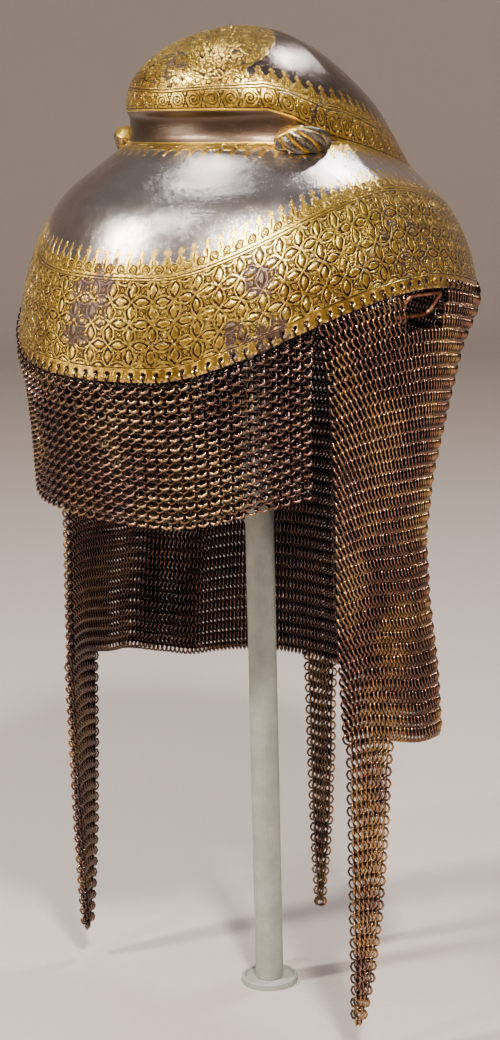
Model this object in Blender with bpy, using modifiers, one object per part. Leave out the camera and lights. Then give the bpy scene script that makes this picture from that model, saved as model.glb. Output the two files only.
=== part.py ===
"""A turban-shaped metal helmet with a mail face panel and neck curtain, on its plain post stand.

Metres, +Z up. The origin is the middle of the stand's underside, on the surface that it
stands on. The helmet faces -Y, so the wearer's left is +X. Angles round the helmet run from
0 at the front over +90 at the wearer's left to 180 at the back.
"""

import math

import bmesh
import bpy
import numpy as np
from mathutils import Matrix, Vector

# Driving dimensions of the bowl and its rim
RIM_LEVEL = 0.3382
RIM_FRONT_REACH = 0.1205
RIM_SIDE_REACH = 0.1010
RIM_REAR_REACH = 0.1145
RIM_PITCH_DEG = 8.0
RIM_CANT_DEG = 3.2
EAR_ARCH_RISE = 0.0230
EAR_ARCH_PEAK_DEG = 82.0
EAR_ARCH_FRONT_SPAN_DEG = 58.0
EAR_ARCH_REAR_SPAN_DEG = 52.0
EAR_ARCH_POWER = 0.8
RIM_BAND_HEIGHT = 0.0075
SHELL_WALL = 0.0016

# Driving dimensions of the crease ring and of the bun above it
CREASE_FRONT_LEVEL = 0.4200
CREASE_SIDE_LEVEL = 0.4185
CREASE_REAR_LEVEL = 0.3960
CREASE_REACH = 0.0585
CREASE_REAR_REACH = 0.1010
TOP_LEVEL = 0.4724
TOP_FORWARD = 0.0070
COVE_FULL_DEG = 50.0
COVE_END_DEG = 90.0

# Rim holes, and the one rivet in their line at each ear
HOLE_COUNT = 120
FACET_HOLE_COUNT = 2
HOLE_DIAMETER = 0.0022
HOLE_HEIGHT = 0.0034
HOLE_SIDE_COUNT = 6
RIVET_ANGLE_DEG = 94.0
RIVET_HEAD_DIAMETER = 0.0036
RIVET_HEAD_HEIGHT = 0.0011
RIVET_CROWN_SHARE = 0.60
RIVET_SHOULDER_SHARE = 0.80
RIVET_EDGE_SHARE = 0.25
CLENCH_DIAMETER = 0.0029
CLENCH_THICKNESS = 0.0006

# Leaf bosses on the crease
BOSS_ANGLE_DEG = 65.0
BOSS_LENGTH = 0.0280
BOSS_HEIGHT = 0.0135
BOSS_PROUD = 0.0098
BOSS_PETAL_COUNT = 12
BOSS_FLUTE = 0.16
BOSS_TILT_DEG = 38.0

# Mail
MAIL_THICKNESS = 0.0028
SLIT_ANGLE_DEG = 61.0
FACE_DROP_FRONT = 0.0630
FACE_DROP_END = 0.0755
NECK_LENGTH = 0.2070
NECK_EDGE_SHARE = 0.92
NECK_SETTLED = 0.40
NECK_FACET_COUNT = 48
FACE_FACET_COUNT = 20

# Ear frames of copper wire, hung under the rim in a notch of the mail
FRAME_ANGLE_DEG = 92.0
FRAME_LEAN_DEG = 25.0
FRAME_WIDTH = 0.0245
FRAME_HEIGHT = 0.0130
FRAME_WIRE = 0.0021
FRAME_CORNER = 0.0016
NOTCH_BELOW_FRAME = 0.0042

# Stand
POST_DIAMETER = 0.0140
BASE_DIAMETER = 0.0285
BASE_HEIGHT = 0.0034
BASE_LIP = 0.0012
BASE_DISH = 0.0008

# Space that touching pieces keep between them
GAP = 0.0003

APEX = Vector((0, -TOP_FORWARD, TOP_LEVEL))
RIM_DROP = (RIM_FRONT_REACH + RIM_REAR_REACH) / 2 * math.tan(math.radians(RIM_PITCH_DEG))
CANT_DROP = RIM_SIDE_REACH * math.tan(math.radians(RIM_CANT_DEG))

# The bowl's rows, from the rim band (0) to the crease (1). Each inset is the share of the
# way in from the rim's reach to the crease's reach, at the front, the side and the back.
BOWL_COLUMNS = ("rise", "front_inset", "side_inset", "rear_inset")
BOWL_ROWS = (
    (0.00, 0.012, 0.035, 0.000),
    (0.20, 0.055, 0.115, 0.020),
    (0.38, 0.130, 0.230, 0.080),
    (0.55, 0.240, 0.370, 0.200),
    (0.70, 0.390, 0.540, 0.360),
    (0.83, 0.620, 0.760, 0.540),
    (0.93, 0.840, 0.910, 0.740),
    (1.00, 1.000, 1.000, 1.000),
)

# The crown's rows above the crease. A reach is a share of the crease's reach there, and a
# rise is the share of the way up from the crease to the top.
CROWN_COLUMNS = (
    "front_reach", "front_rise", "side_reach", "side_rise", "rear_reach", "rear_rise",
)
CROWN_ROWS = (
    (0.955, 0.070, 0.985, 0.025, 0.985, 0.015),
    (0.950, 0.215, 0.980, 0.065, 0.950, 0.050),
    (0.995, 0.280, 0.985, 0.115, 0.910, 0.095),
    (1.005, 0.400, 0.965, 0.245, 0.810, 0.235),
    (0.965, 0.560, 0.895, 0.440, 0.675, 0.440),
    (0.850, 0.715, 0.755, 0.640, 0.490, 0.640),
    (0.660, 0.855, 0.555, 0.820, 0.285, 0.825),
    (0.395, 0.958, 0.285, 0.950, 0.085, 0.950),
)
CAP_ROW_COUNT = 2

# The face panel's fall: at each share of its drop, its reach as a share of the rim's
FACE_COLUMNS = ("down", "reach")
FACE_ROWS = (
    (0.00, 1.000),
    (0.06, 1.000),
    (0.25, 0.972),
    (0.60, 0.955),
    (1.00, 0.945),
)

# The neck curtain's fall: at each share of its length, its reach as a share of the rim's
# at the front edge (sideways and forward), at the side, and at the back
NECK_COLUMNS = ("down", "edge_side", "edge_front", "side", "rear")
NECK_ROWS = (
    (0.00, 0.875, 0.485, 1.000, 1.000),
    (0.02, 0.875, 0.485, 1.000, 1.000),
    (0.12, 0.870, 0.435, 0.985, 0.825),
    (0.26, 0.868, 0.410, 0.955, 0.685),
    (0.42, 0.868, 0.400, 0.915, 0.540),
    (0.56, 0.868, 0.400, 0.905, 0.450),
    (0.70, 0.870, 0.398, 0.935, 0.420),
    (0.85, 0.880, 0.395, 0.985, 0.410),
    (1.00, 0.890, 0.390, 1.010, 0.400),
)

# The dags that hang from the curtain's lower edge, by columns of the curtain from its
# right front edge, with the share of the way across at which the tip hangs, and how each
# narrows on its way down to the last ring
DAG_COLUMNS = ("first", "last", "tip_across", "length")
DAGS = (
    (0, 4, 0.30, 0.146),
    (23, 25, 0.28, 0.134),
    (45, 48, 0.92, 0.136),
)
DAG_TAPER_COLUMNS = ("down", "width")
DAG_TAPER = (
    (0.10, 0.90),
    (0.35, 0.76),
    (0.62, 0.56),
    (0.84, 0.36),
    (1.00, 0.16),
)

SHELL_STEEL = ("shell_steel", (0.42, 0.36, 0.28), 0.30, 1.0)
GILT = ("gilt", (0.62, 0.43, 0.16), 0.35, 1.0)
MAIL_STEEL = ("mail_steel", (0.20, 0.15, 0.11), 0.50, 1.0)
COPPER = ("copper", (0.45, 0.20, 0.11), 0.40, 1.0)
STAND_PAINT = ("stand_paint", (0.40, 0.43, 0.38), 0.60, 0.0)


def clear_scene():
    for thing in list(bpy.data.objects):
        bpy.data.objects.remove(thing, do_unlink=True)


def new_collection(name):
    collection = bpy.data.collections.new(name)
    bpy.context.scene.collection.children.link(collection)
    return collection


def material_of(finish):
    name, color, roughness, metallic = finish
    found = bpy.data.materials.get(name)
    if found:
        return found
    material = bpy.data.materials.new(name)
    material.use_nodes = True
    shader = material.node_tree.nodes["Principled BSDF"]
    shader.inputs["Base Color"].default_value = (*color, 1.0)
    shader.inputs["Roughness"].default_value = roughness
    shader.inputs["Metallic"].default_value = metallic
    return material


def new_object(name, data, collection, finish):
    made = bpy.data.objects.new(name, data)
    collection.objects.link(made)
    data.materials.append(material_of(finish))
    return made


def new_cutter(name, mesh):
    made = bpy.data.objects.new(name, mesh)
    CUTTERS.objects.link(made)
    made.hide_render = True
    made.display_type = "WIRE"
    return made


def cut(body, cutter):
    boolean = body.modifiers.new("cut by " + cutter.name, "BOOLEAN")
    boolean.operation = "DIFFERENCE"
    boolean.solver = "EXACT"
    boolean.object = cutter


def grid_of_points(made, rows, closed_round):
    """Vertices for rows of points, from the lowest row up, with faces between them."""
    grid = [[made.verts.new(point) for point in row] for row in rows]
    for lower, upper in zip(grid, grid[1:]):
        fill_between(made, lower, upper, closed_round)
    return grid


def fill_between(made, lower, upper, closed_round):
    count = len(lower)
    for k in range(count if closed_round else count - 1):
        after = (k + 1) % count
        made.faces.new((lower[k], lower[after], upper[after], upper[k]))


def close_top(made, ring, apex):
    tip = made.verts.new(apex)
    for k, vert in enumerate(ring):
        made.faces.new((vert, ring[(k + 1) % len(ring)], tip))


def finished_mesh(name, made):
    mesh = bpy.data.meshes.new(name)
    made.to_mesh(mesh)
    made.free()
    return mesh


def smoothstep(share):
    held = min(max(share, 0.0), 1.0)
    return held * held * (3 - 2 * held)


def ear_arch_at(angle):
    """How far the rim is raised over the ear at this angle."""
    away = math.degrees(abs(math.remainder(angle, math.tau))) - EAR_ARCH_PEAK_DEG
    span = EAR_ARCH_FRONT_SPAN_DEG if away < 0 else EAR_ARCH_REAR_SPAN_DEG
    if abs(away) >= span:
        return 0.0
    return EAR_ARCH_RISE * ((1 + math.cos(math.pi * away / span)) / 2) ** EAR_ARCH_POWER


def rim_level_at(angle):
    tipped = RIM_DROP * math.cos(angle) + CANT_DROP * math.sin(angle)
    return RIM_LEVEL - tipped + ear_arch_at(angle)


def crease_level_at(angle):
    toward_side = max(math.cos(angle), 0.0)
    toward_rear = max(-math.cos(angle), 0.0)
    rise = (CREASE_FRONT_LEVEL - CREASE_SIDE_LEVEL) * smoothstep(toward_side)
    return CREASE_SIDE_LEVEL + rise - (CREASE_SIDE_LEVEL - CREASE_REAR_LEVEL) * toward_rear


def plan_point(angle, front, side, rear):
    """The plan's point at this angle on two half ellipses that share their width."""
    reach = front if math.cos(angle) > 0 else rear
    return side * math.sin(angle), -reach * math.cos(angle)


def mixed(first, second, share):
    return first + (second - first) * share


def bowl_point(row, angle):
    front = mixed(RIM_FRONT_REACH, CREASE_REACH, row["front_inset"])
    side = mixed(RIM_SIDE_REACH, CREASE_REACH, row["side_inset"])
    rear = mixed(RIM_REAR_REACH, CREASE_REAR_REACH, row["rear_inset"])
    x, y = plan_point(angle, front, side, rear)
    foot = rim_level_at(angle) + RIM_BAND_HEIGHT
    return Vector((x, y, mixed(foot, crease_level_at(angle), row["rise"])))


def crown_point(row, angle):
    front = CREASE_REACH * row["front_reach"]
    side = CREASE_REACH * row["side_reach"]
    rear = CREASE_REAR_REACH * row["rear_reach"]
    x, y = plan_point(angle, front, side, rear)
    turned = math.degrees(abs(angle))
    if turned < COVE_END_DEG:
        held = smoothstep((COVE_END_DEG - turned) / (COVE_END_DEG - COVE_FULL_DEG))
        rise = mixed(row["side_rise"], row["front_rise"], held)
    else:
        rise = mixed(row["side_rise"], row["rear_rise"], -math.cos(angle))
    return Vector((x, y, mixed(crease_level_at(angle), TOP_LEVEL, rise)))


def rim_point(angle, inward=0.0, lower=0.0):
    x, y = plan_point(angle, RIM_FRONT_REACH, RIM_SIDE_REACH, RIM_REAR_REACH)
    out = Vector((x, y, 0)).normalized()
    return Vector((x, y, rim_level_at(angle) - lower)) - out * inward


def rim_angles(count, first=-math.pi, last=math.pi):
    """Angles that part the rim's edge into equal lengths between two angles."""
    fine = np.linspace(first, last, 721)
    points = np.array([rim_point(angle) for angle in fine])
    run = np.concatenate([[0], np.cumsum(np.linalg.norm(np.diff(points, axis=0), axis=1))])
    return np.interp(np.linspace(0, run[-1], count + 1), run, fine)


def shell_rows(angles):
    """The shell's outer points, row by row from the rim's edge to under the apex."""
    rows = [[rim_point(angle) for angle in angles]]
    for values in BOWL_ROWS:
        row = dict(zip(BOWL_COLUMNS, values))
        rows.append([bowl_point(row, angle) for angle in angles])
    for values in CROWN_ROWS:
        row = dict(zip(CROWN_COLUMNS, values))
        rows.append([crown_point(row, angle) for angle in angles])
    return rows


def frame_matrix(origin, out):
    """A frame at a point, with its Z along a direction and its X level."""
    z_axis = out.normalized()
    x_axis = Vector((0, 0, 1)).cross(z_axis).normalized()
    y_axis = z_axis.cross(x_axis)
    turn = Matrix((x_axis, y_axis, z_axis)).transposed().to_4x4()
    return Matrix.Translation(origin) @ turn


def hole_matrices(rows):
    """A frame on each rim hole's middle, on the shell's flat facets, with Z outward."""
    edge, band = rows[0], rows[1]
    share = HOLE_HEIGHT / RIM_BAND_HEIGHT
    count = len(edge)
    frames = []
    for k in range(count):
        after = (k + 1) % count
        for part in range(FACET_HOLE_COUNT):
            along = (part + 0.5) / FACET_HOLE_COUNT
            low = edge[k].lerp(edge[after], along)
            high = band[k].lerp(band[after], along)
            out = (edge[after] - edge[k]).cross(band[k] - edge[k])
            frames.append(frame_matrix(low.lerp(high, share), out))
    return frames


def prism_cutter(name, frames, diameter, length, sides):
    made = bmesh.new()
    for frame in frames:
        bmesh.ops.create_cone(
            made, cap_ends=True, segments=sides, radius1=diameter / 2,
            radius2=diameter / 2, depth=length, matrix=frame,
        )
    return new_cutter(name, finished_mesh(name, made))


def build_skull(rows, frames):
    """The one-piece iron bowl and bun, with a hole for each mail ring round the rim."""
    made = bmesh.new()
    grid = grid_of_points(made, rows, True)
    close_top(made, grid[-1], APEX)
    skull = new_object("skull", finished_mesh("skull", made), PARTS, SHELL_STEEL)
    wall = skull.modifiers.new("wall", "SOLIDIFY")
    wall.thickness = SHELL_WALL
    wall.offset = -1.0
    wall.use_even_offset = True
    holes = prism_cutter("rim_holes", frames, HOLE_DIAMETER, 6 * SHELL_WALL, HOLE_SIDE_COUNT)
    cut(skull, holes)
    skull.data.shade_smooth()


def profile_mesh(name, profile):
    """A line of (radius, height) points that run from the top down the outer side."""
    made = bmesh.new()
    verts = [made.verts.new((radius, 0, height)) for radius, height in profile]
    for upper, lower in zip(verts, verts[1:]):
        made.edges.new((upper, lower))
    return finished_mesh(name, made)


def turned(name, profile, steps, finish):
    made = new_object(name, profile_mesh(name, profile), PARTS, finish)
    screw = made.modifiers.new("turned", "SCREW")
    screw.steps = steps
    screw.render_steps = steps
    screw.use_merge_vertices = True
    screw.merge_threshold = 0.00001
    screw.use_smooth_shade = True
    return made


def build_rivets(frames):
    """A round-headed rivet in the hole line over each ear, clenched on a small disc."""
    shank = HOLE_DIAMETER / 2 * math.cos(math.pi / HOLE_SIDE_COUNT) - GAP
    inner = -SHELL_WALL - GAP
    head = RIVET_HEAD_DIAMETER / 2
    clench = CLENCH_DIAMETER / 2
    profile = (
        (0, GAP + RIVET_HEAD_HEIGHT),
        (head * RIVET_CROWN_SHARE, GAP + RIVET_HEAD_HEIGHT * RIVET_SHOULDER_SHARE),
        (head, GAP + RIVET_HEAD_HEIGHT * RIVET_EDGE_SHARE),
        (head, GAP),
        (shank, GAP),
        (shank, inner),
        (clench, inner),
        (clench, inner - CLENCH_THICKNESS),
        (0, inner - CLENCH_THICKNESS),
    )
    for side, name in ((1, "rim_rivet_left"), (-1, "rim_rivet_right")):
        wanted = rim_point(side * math.radians(RIVET_ANGLE_DEG))
        nearest = min(frames, key=lambda frame: (frame.translation - wanted).length)
        rivet = turned(name, profile, 10, GILT)
        rivet.matrix_world = nearest


def offset_along_normals(made, distance):
    made.normal_update()
    for vert in made.verts:
        vert.co += vert.normal * distance


def skull_envelope():
    """The space inside the shell's outer face and its gap, as one closed cutter."""
    made = bmesh.new()
    grid = grid_of_points(made, shell_rows(rim_angles(72)[:-1]), True)
    close_top(made, grid[-1], APEX)
    offset_along_normals(made, GAP)
    made.faces.new(reversed(grid[0]))
    return new_cutter("skull_envelope", finished_mesh("skull_envelope", made))


def boss_mesh(name, side):
    """A fluted half-lotus: an egg form whose skin rises in petals round its outward pole."""
    made = bmesh.new()
    bmesh.ops.create_uvsphere(made, u_segments=24, v_segments=8, radius=1.0)
    half = Vector((BOSS_LENGTH / 2, BOSS_HEIGHT / 2, BOSS_PROUD))
    for vert in made.verts:
        around = math.atan2(vert.co.y, vert.co.x)
        wave = abs(math.sin(BOSS_PETAL_COUNT * around / 2))
        swell = 1 - BOSS_FLUTE * (1 - wave) * (1 - vert.co.z ** 2)
        vert.co = Vector(
            (vert.co.x * half.x * swell, vert.co.y * half.y * swell, vert.co.z * half.z)
        )
    angle = side * math.radians(BOSS_ANGLE_DEG)
    crease = crown_point(dict(zip(CROWN_COLUMNS, (1, 0, 1, 0, 1, 0))), angle)
    out = Vector((crease.x, crease.y, 0)).normalized()
    tilt = math.radians(BOSS_TILT_DEG)
    pole = out * math.cos(tilt) + Vector((0, 0, 1)) * math.sin(tilt)
    made.transform(frame_matrix(crease, pole))
    return finished_mesh(name, made)


def build_bosses():
    envelope = skull_envelope()
    for side, name in ((1, "leaf_boss_left"), (-1, "leaf_boss_right")):
        boss = new_object(name, boss_mesh(name, side), PARTS, GILT)
        cut(boss, envelope)
        boss.data.shade_smooth()


def solid_sheet(name, made):
    """A sheet of mail: an open surface, given its thickness on both sides."""
    sheet = new_object(name, finished_mesh(name, made), PARTS, MAIL_STEEL)
    wall = sheet.modifiers.new("thickness", "SOLIDIFY")
    wall.thickness = MAIL_THICKNESS
    wall.offset = 0.0
    sheet.data.shade_smooth()
    return sheet


def hang_point(angle):
    """Where the middle of the mail's thickness starts, just under the rim's edge."""
    return rim_point(angle, inward=SHELL_WALL / 2, lower=2 * GAP)


def face_column(angle):
    top = hang_point(angle)
    share = (angle / math.radians(SLIT_ANGLE_DEG)) ** 2
    drop = mixed(FACE_DROP_FRONT, FACE_DROP_END, share)
    column = []
    for values in FACE_ROWS:
        row = dict(zip(FACE_COLUMNS, values))
        column.append(
            Vector((top.x * row["reach"], top.y * row["reach"], top.z - drop * row["down"]))
        )
    return column


def slit_edge():
    """The angle from the slit's middle to the edge of the mail's thickness."""
    return math.asin((MAIL_THICKNESS + GAP) / 2 / RIM_SIDE_REACH)


def rows_from_lowest(columns):
    return [list(row) for row in zip(*columns)][::-1]


def build_face_mail():
    """The panel that hangs in front of the eyes, open at its two side slits."""
    edge = math.radians(SLIT_ANGLE_DEG) - slit_edge()
    columns = [face_column(angle) for angle in rim_angles(FACE_FACET_COUNT, -edge, edge)]
    made = bmesh.new()
    grid_of_points(made, rows_from_lowest(columns), False)
    solid_sheet("face_mail", made)


def neck_plan(row, angle):
    """The curtain's place in plan at a row of its fall, below a point of the rim."""
    edge = math.radians(SLIT_ANGLE_DEG)
    over = abs(angle) - math.pi / 2
    side = RIM_SIDE_REACH * row["side"]
    if over < 0:
        share = math.sin((abs(angle) - edge) / (math.pi / 2 - edge) * math.pi / 2)
        x = mixed(RIM_SIDE_REACH * row["edge_side"], side, share)
        y = -RIM_FRONT_REACH * row["edge_front"] * over / (edge - math.pi / 2)
    else:
        x = side * math.cos(over)
        y = RIM_REAR_REACH * row["rear"] * math.sin(over)
    return Vector((math.copysign(x, angle), y, 0))


def neck_column(angle):
    """One column of the curtain, from the rim down. The columns at the front are shorter."""
    falls = [dict(zip(NECK_COLUMNS, values)) for values in NECK_ROWS]
    column = [hang_point(angle)]
    from_rim = column[0] - neck_plan(falls[0], angle)
    from_slit = abs(angle) - math.radians(SLIT_ANGLE_DEG)
    share = smoothstep(from_slit / (math.pi / 2 - math.radians(SLIT_ANGLE_DEG)))
    length = NECK_LENGTH * mixed(NECK_EDGE_SHARE, 1.0, share)
    for before, row in zip(falls, falls[1:]):
        step = (row["down"] - before["down"]) * length
        here = neck_plan(row, angle) + from_rim * (1 - smoothstep(row["down"] / NECK_SETTLED))
        away = (here - column[-1]).to_2d().length
        drop = math.sqrt(step ** 2 - min(away, step / 2) ** 2)
        column.append(Vector((here.x, here.y, column[-1].z - drop)))
    return column


def add_dag(made, lowest, dag):
    """One tapering dag below some columns of the curtain's lowest row."""
    top = lowest[dag["first"]: dag["last"] + 1]
    middle = top[0].co.lerp(top[-1].co, dag["tip_across"])
    above = top
    for values in DAG_TAPER:
        taper = dict(zip(DAG_TAPER_COLUMNS, values))
        row = []
        for vert in top:
            place = middle.lerp(vert.co, taper["width"])
            level = mixed(place.z, vert.co.z, 1 - taper["down"])
            row.append(made.verts.new((place.x, place.y, level - dag["length"] * taper["down"])))
        fill_between(made, row, above, False)
        above = row


def build_neck_mail():
    """The curtain round the sides and back, with its three tapering dags."""
    edge = math.radians(SLIT_ANGLE_DEG) + slit_edge()
    angles = rim_angles(NECK_FACET_COUNT, edge, math.tau - edge)
    columns = [neck_column(math.remainder(angle, math.tau)) for angle in angles]
    columns.reverse()
    made = bmesh.new()
    grid = grid_of_points(made, rows_from_lowest(columns), False)
    for values in DAGS:
        add_dag(made, grid[0], dict(zip(DAG_COLUMNS, values)))
    bmesh.ops.reverse_faces(made, faces=made.faces)
    mail = solid_sheet("neck_mail", made)
    for side in (1, -1):
        cut(mail, notch_cutter(side))


def ear_matrix(side):
    """A frame at the middle of the ear frame's top, with X along the rim and Z outward. Its
    foot leans inward."""
    middle = side * math.radians(FRAME_ANGLE_DEG)
    half = FRAME_WIDTH / 2 / RIM_SIDE_REACH
    before, after = rim_point(middle - half), rim_point(middle + half)
    x_axis = (after - before).normalized()
    z_axis = x_axis.cross(Vector((0, 0, 1))).normalized()
    y_axis = z_axis.cross(x_axis)
    turn = Matrix((x_axis, y_axis, z_axis)).transposed().to_4x4()
    lean = Matrix.Rotation(math.radians(FRAME_LEAN_DEG), 4, "X")
    return Matrix.Translation((before + after) / 2 - z_axis * SHELL_WALL / 2) @ turn @ lean


def ear_top(side):
    """How far under the chord of the rim the frame's top must stay."""
    local = ear_matrix(side).inverted()
    middle = side * math.radians(FRAME_ANGLE_DEG)
    half = FRAME_WIDTH / 2 / RIM_SIDE_REACH
    levels = [
        (local @ rim_point(angle, inward=inward)).y
        for angle in np.linspace(middle - half, middle + half, 15)
        for inward in (0.0, SHELL_WALL)
    ]
    return 2 * GAP - min(levels)


def build_ear_frames():
    """The rectangle of copper wire that keeps the mail open over each ear."""
    radius = FRAME_WIRE / 2
    wide = FRAME_WIDTH / 2 - radius
    for side, name in ((1, "ear_frame_left"), (-1, "ear_frame_right")):
        high = -ear_top(side) - radius
        low = high - FRAME_HEIGHT + FRAME_WIRE
        corner = FRAME_CORNER
        outline = (
            (-wide + corner, high), (wide - corner, high),
            (wide, high - corner), (wide, low + corner),
            (wide - corner, low), (-wide + corner, low),
            (-wide, low + corner), (-wide, high - corner),
        )
        curve = bpy.data.curves.new(name, "CURVE")
        curve.dimensions = "3D"
        curve.bevel_depth = radius
        curve.bevel_resolution = 2
        spline = curve.splines.new("POLY")
        spline.points.add(len(outline) - 1)
        for point, (x, y) in zip(spline.points, outline):
            point.co = (x, y, 0, 1)
        spline.use_cyclic_u = True
        frame = new_object(name, curve, PARTS, COPPER)
        frame.matrix_world = ear_matrix(side)


def notch_cutter(side):
    """The notch in the mail that the ear frame hangs in, open to the rim."""
    width = FRAME_WIDTH + 2 * GAP
    depth = 2 * (ear_top(side) + FRAME_HEIGHT + NOTCH_BELOW_FRAME)
    made = bmesh.new()
    bmesh.ops.create_cube(made, size=1.0)
    bmesh.ops.scale(made, vec=(width, depth, width), verts=made.verts)
    made.transform(ear_matrix(side))
    name = "ear_notch_left" if side > 0 else "ear_notch_right"
    return new_cutter(name, finished_mesh(name, made))


def build_cap():
    """The plain cap that fills the top of the bun from inside. It returns its underside."""
    made = bmesh.new()
    rows = shell_rows(rim_angles(24)[:-1])[-CAP_ROW_COUNT:]
    grid = grid_of_points(made, rows, True)
    close_top(made, grid[-1], APEX)
    offset_along_normals(made, -SHELL_WALL - GAP)
    foot = min(vert.co.z for vert in grid[0])
    for vert in grid[0]:
        vert.co.z = foot
    made.faces.new(reversed(grid[0]))
    new_object("stand_cap", finished_mesh("stand_cap", made), PARTS, STAND_PAINT)
    return foot


def build_stand():
    """The turned base, the straight post, and the plain cap inside the bun."""
    seat = BASE_HEIGHT - BASE_DISH
    lip = BASE_DIAMETER / 2
    base = (
        (0, seat),
        (lip - 2 * BASE_LIP, seat),
        (lip - BASE_LIP * 1.5, BASE_HEIGHT),
        (lip - BASE_LIP * 0.4, BASE_HEIGHT),
        (lip, BASE_HEIGHT - BASE_LIP * 0.5),
        (lip, 0),
        (0, 0),
    )
    turned("stand_base", base, 32, STAND_PAINT)
    cap_foot = build_cap()
    radius = POST_DIAMETER / 2
    post = (
        (0, cap_foot - GAP),
        (radius, cap_foot - GAP),
        (radius, seat + GAP),
        (0, seat + GAP),
    )
    turned("stand_post", post, 24, STAND_PAINT)


clear_scene()
PARTS = new_collection("metal_helmet")
CUTTERS = new_collection("cutters")
ring_angles = rim_angles(HOLE_COUNT // FACET_HOLE_COUNT)[:-1]
shell = shell_rows(ring_angles)
hole_frames = hole_matrices(shell)
build_skull(shell, hole_frames)
build_rivets(hole_frames)
build_bosses()
build_face_mail()
build_neck_mail()
build_ear_frames()
build_stand()
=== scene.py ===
# %% [markdown]
# # A turban-shaped metal helmet on its post
# The CAD frame already has every piece at its real size. This lesson dresses it: a smooth
# gilt bowl with its pattern, mail woven ring by ring, carved bosses, copper ear frames and
# a painted stand. Everything is in metres, +Z up, and the helmet faces -Y.

# %% Load the frame and keep its box
import math

import bpy
import numpy as np
from mathutils import Matrix, Vector
from mathutils.bvhtree import BVHTree


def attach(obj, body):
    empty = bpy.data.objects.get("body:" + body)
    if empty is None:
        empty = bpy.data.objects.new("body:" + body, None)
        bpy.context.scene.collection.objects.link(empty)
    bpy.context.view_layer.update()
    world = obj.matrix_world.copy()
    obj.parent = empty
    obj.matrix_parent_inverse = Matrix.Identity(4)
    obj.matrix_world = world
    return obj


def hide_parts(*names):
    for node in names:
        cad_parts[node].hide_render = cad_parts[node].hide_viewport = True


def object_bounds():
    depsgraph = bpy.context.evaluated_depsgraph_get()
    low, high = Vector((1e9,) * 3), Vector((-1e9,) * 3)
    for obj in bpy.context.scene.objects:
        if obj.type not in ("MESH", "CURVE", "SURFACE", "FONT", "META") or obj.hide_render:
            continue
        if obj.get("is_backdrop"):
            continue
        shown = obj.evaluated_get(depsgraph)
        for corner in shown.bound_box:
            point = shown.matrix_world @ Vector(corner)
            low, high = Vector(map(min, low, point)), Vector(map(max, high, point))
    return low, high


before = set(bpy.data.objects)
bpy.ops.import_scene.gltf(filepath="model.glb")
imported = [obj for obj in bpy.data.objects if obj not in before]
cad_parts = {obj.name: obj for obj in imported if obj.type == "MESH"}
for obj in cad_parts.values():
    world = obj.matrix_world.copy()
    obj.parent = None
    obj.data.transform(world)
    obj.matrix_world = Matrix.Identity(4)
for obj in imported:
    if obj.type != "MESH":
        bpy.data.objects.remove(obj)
cad_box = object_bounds()
print("CAD nodes:", sorted(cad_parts))

# %% [markdown]
# ## The camera
# A photograph's view can be rebuilt from a few things that are known to be plumb or round.
# Here the post is plumb, the foot is a circle, and the rim is level from side to side, which
# gives the direction, the tilt and the distance. The picture also leans by about one degree,
# so the camera is rolled by as much, and a small shift puts the post off the middle.

# %% Camera
TURN = math.radians(42.0)
TILT = math.radians(11.4)
ROLL = math.radians(1.28)
CAMERA_AWAY = 1.047
CAMERA_LEVEL = 0.449
SENSOR_MM = 36.0
LENS_MM = 76.15
PICTURE_SHIFT = -0.009135
UP = Vector((0, 0, 1))


def add(name, data):
    """An object for a mesh, a lamp or a camera, put in the scene."""
    made = bpy.data.objects.new(name, data)
    bpy.context.scene.collection.objects.link(made)
    return made


def aimed(place, direction):
    """The matrix of a camera or a lamp that stands at a place and looks in a direction."""
    return Matrix.Translation(place) @ direction.to_track_quat("-Z", "Y").to_matrix().to_4x4()


toward_camera = Vector((math.sin(TURN), -math.cos(TURN), 0))
looking = -toward_camera * math.cos(TILT) - UP * math.sin(TILT)
camera_data = bpy.data.cameras.new("camera")
camera_data.sensor_width = SENSOR_MM
camera_data.lens = LENS_MM
camera_data.shift_x = PICTURE_SHIFT
camera = add("camera", camera_data)
camera_place = toward_camera * CAMERA_AWAY + UP * CAMERA_LEVEL
camera.matrix_world = aimed(camera_place, looking) @ Matrix.Rotation(-ROLL, 4, "Z")
bpy.context.scene.camera = camera
print("camera at", [round(value, 4) for value in camera.matrix_world.translation])

# %% [markdown]
# ## The room
# Polished metal shows the room that it stands in. A studio sweep, a floor that curves up
# into a wall all round, gives it one calm pale surface to mirror, and the soft lamps above
# give the round highlights. The sweep is one turned profile.

# %% The floor and its sweep
FLOOR_REACH = 2.6
SWEEP_RADIUS = 0.9
WALL_LEVEL = 2.6
SWEEP_SIDES = 96
SWEEP_STEPS = 16
FLOOR_START = 0.001


def link(name, mesh):
    """An object for a mesh, in the scene and smoothly shaded."""
    mesh.shade_smooth()
    return add(name, mesh)


def mesh_of(name, points, faces):
    """A mesh from an array of points and an array of faces with the same number of corners."""
    points = np.asarray(points, np.float32).reshape(-1, 3)
    faces = np.asarray(faces, np.int32)
    mesh = bpy.data.meshes.new(name)
    mesh.vertices.add(len(points))
    mesh.vertices.foreach_set("co", points.ravel())
    mesh.loops.add(faces.size)
    mesh.loops.foreach_set("vertex_index", faces.ravel())
    mesh.polygons.add(len(faces))
    mesh.polygons.foreach_set("loop_start", np.arange(len(faces), dtype=np.int32) * faces.shape[1])
    mesh.update(calc_edges=True)
    mesh.validate()
    return mesh


def round_faces(rows, sides):
    """The quads between closed rows of points, with their normals to the left of a row."""
    row, side = np.meshgrid(np.arange(rows - 1), np.arange(sides), indexing="ij")
    low, after = row * sides, (side + 1) % sides
    quads = np.stack([low + side, low + sides + side, low + sides + after, low + after], -1)
    return quads.reshape(-1, 4)


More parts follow.
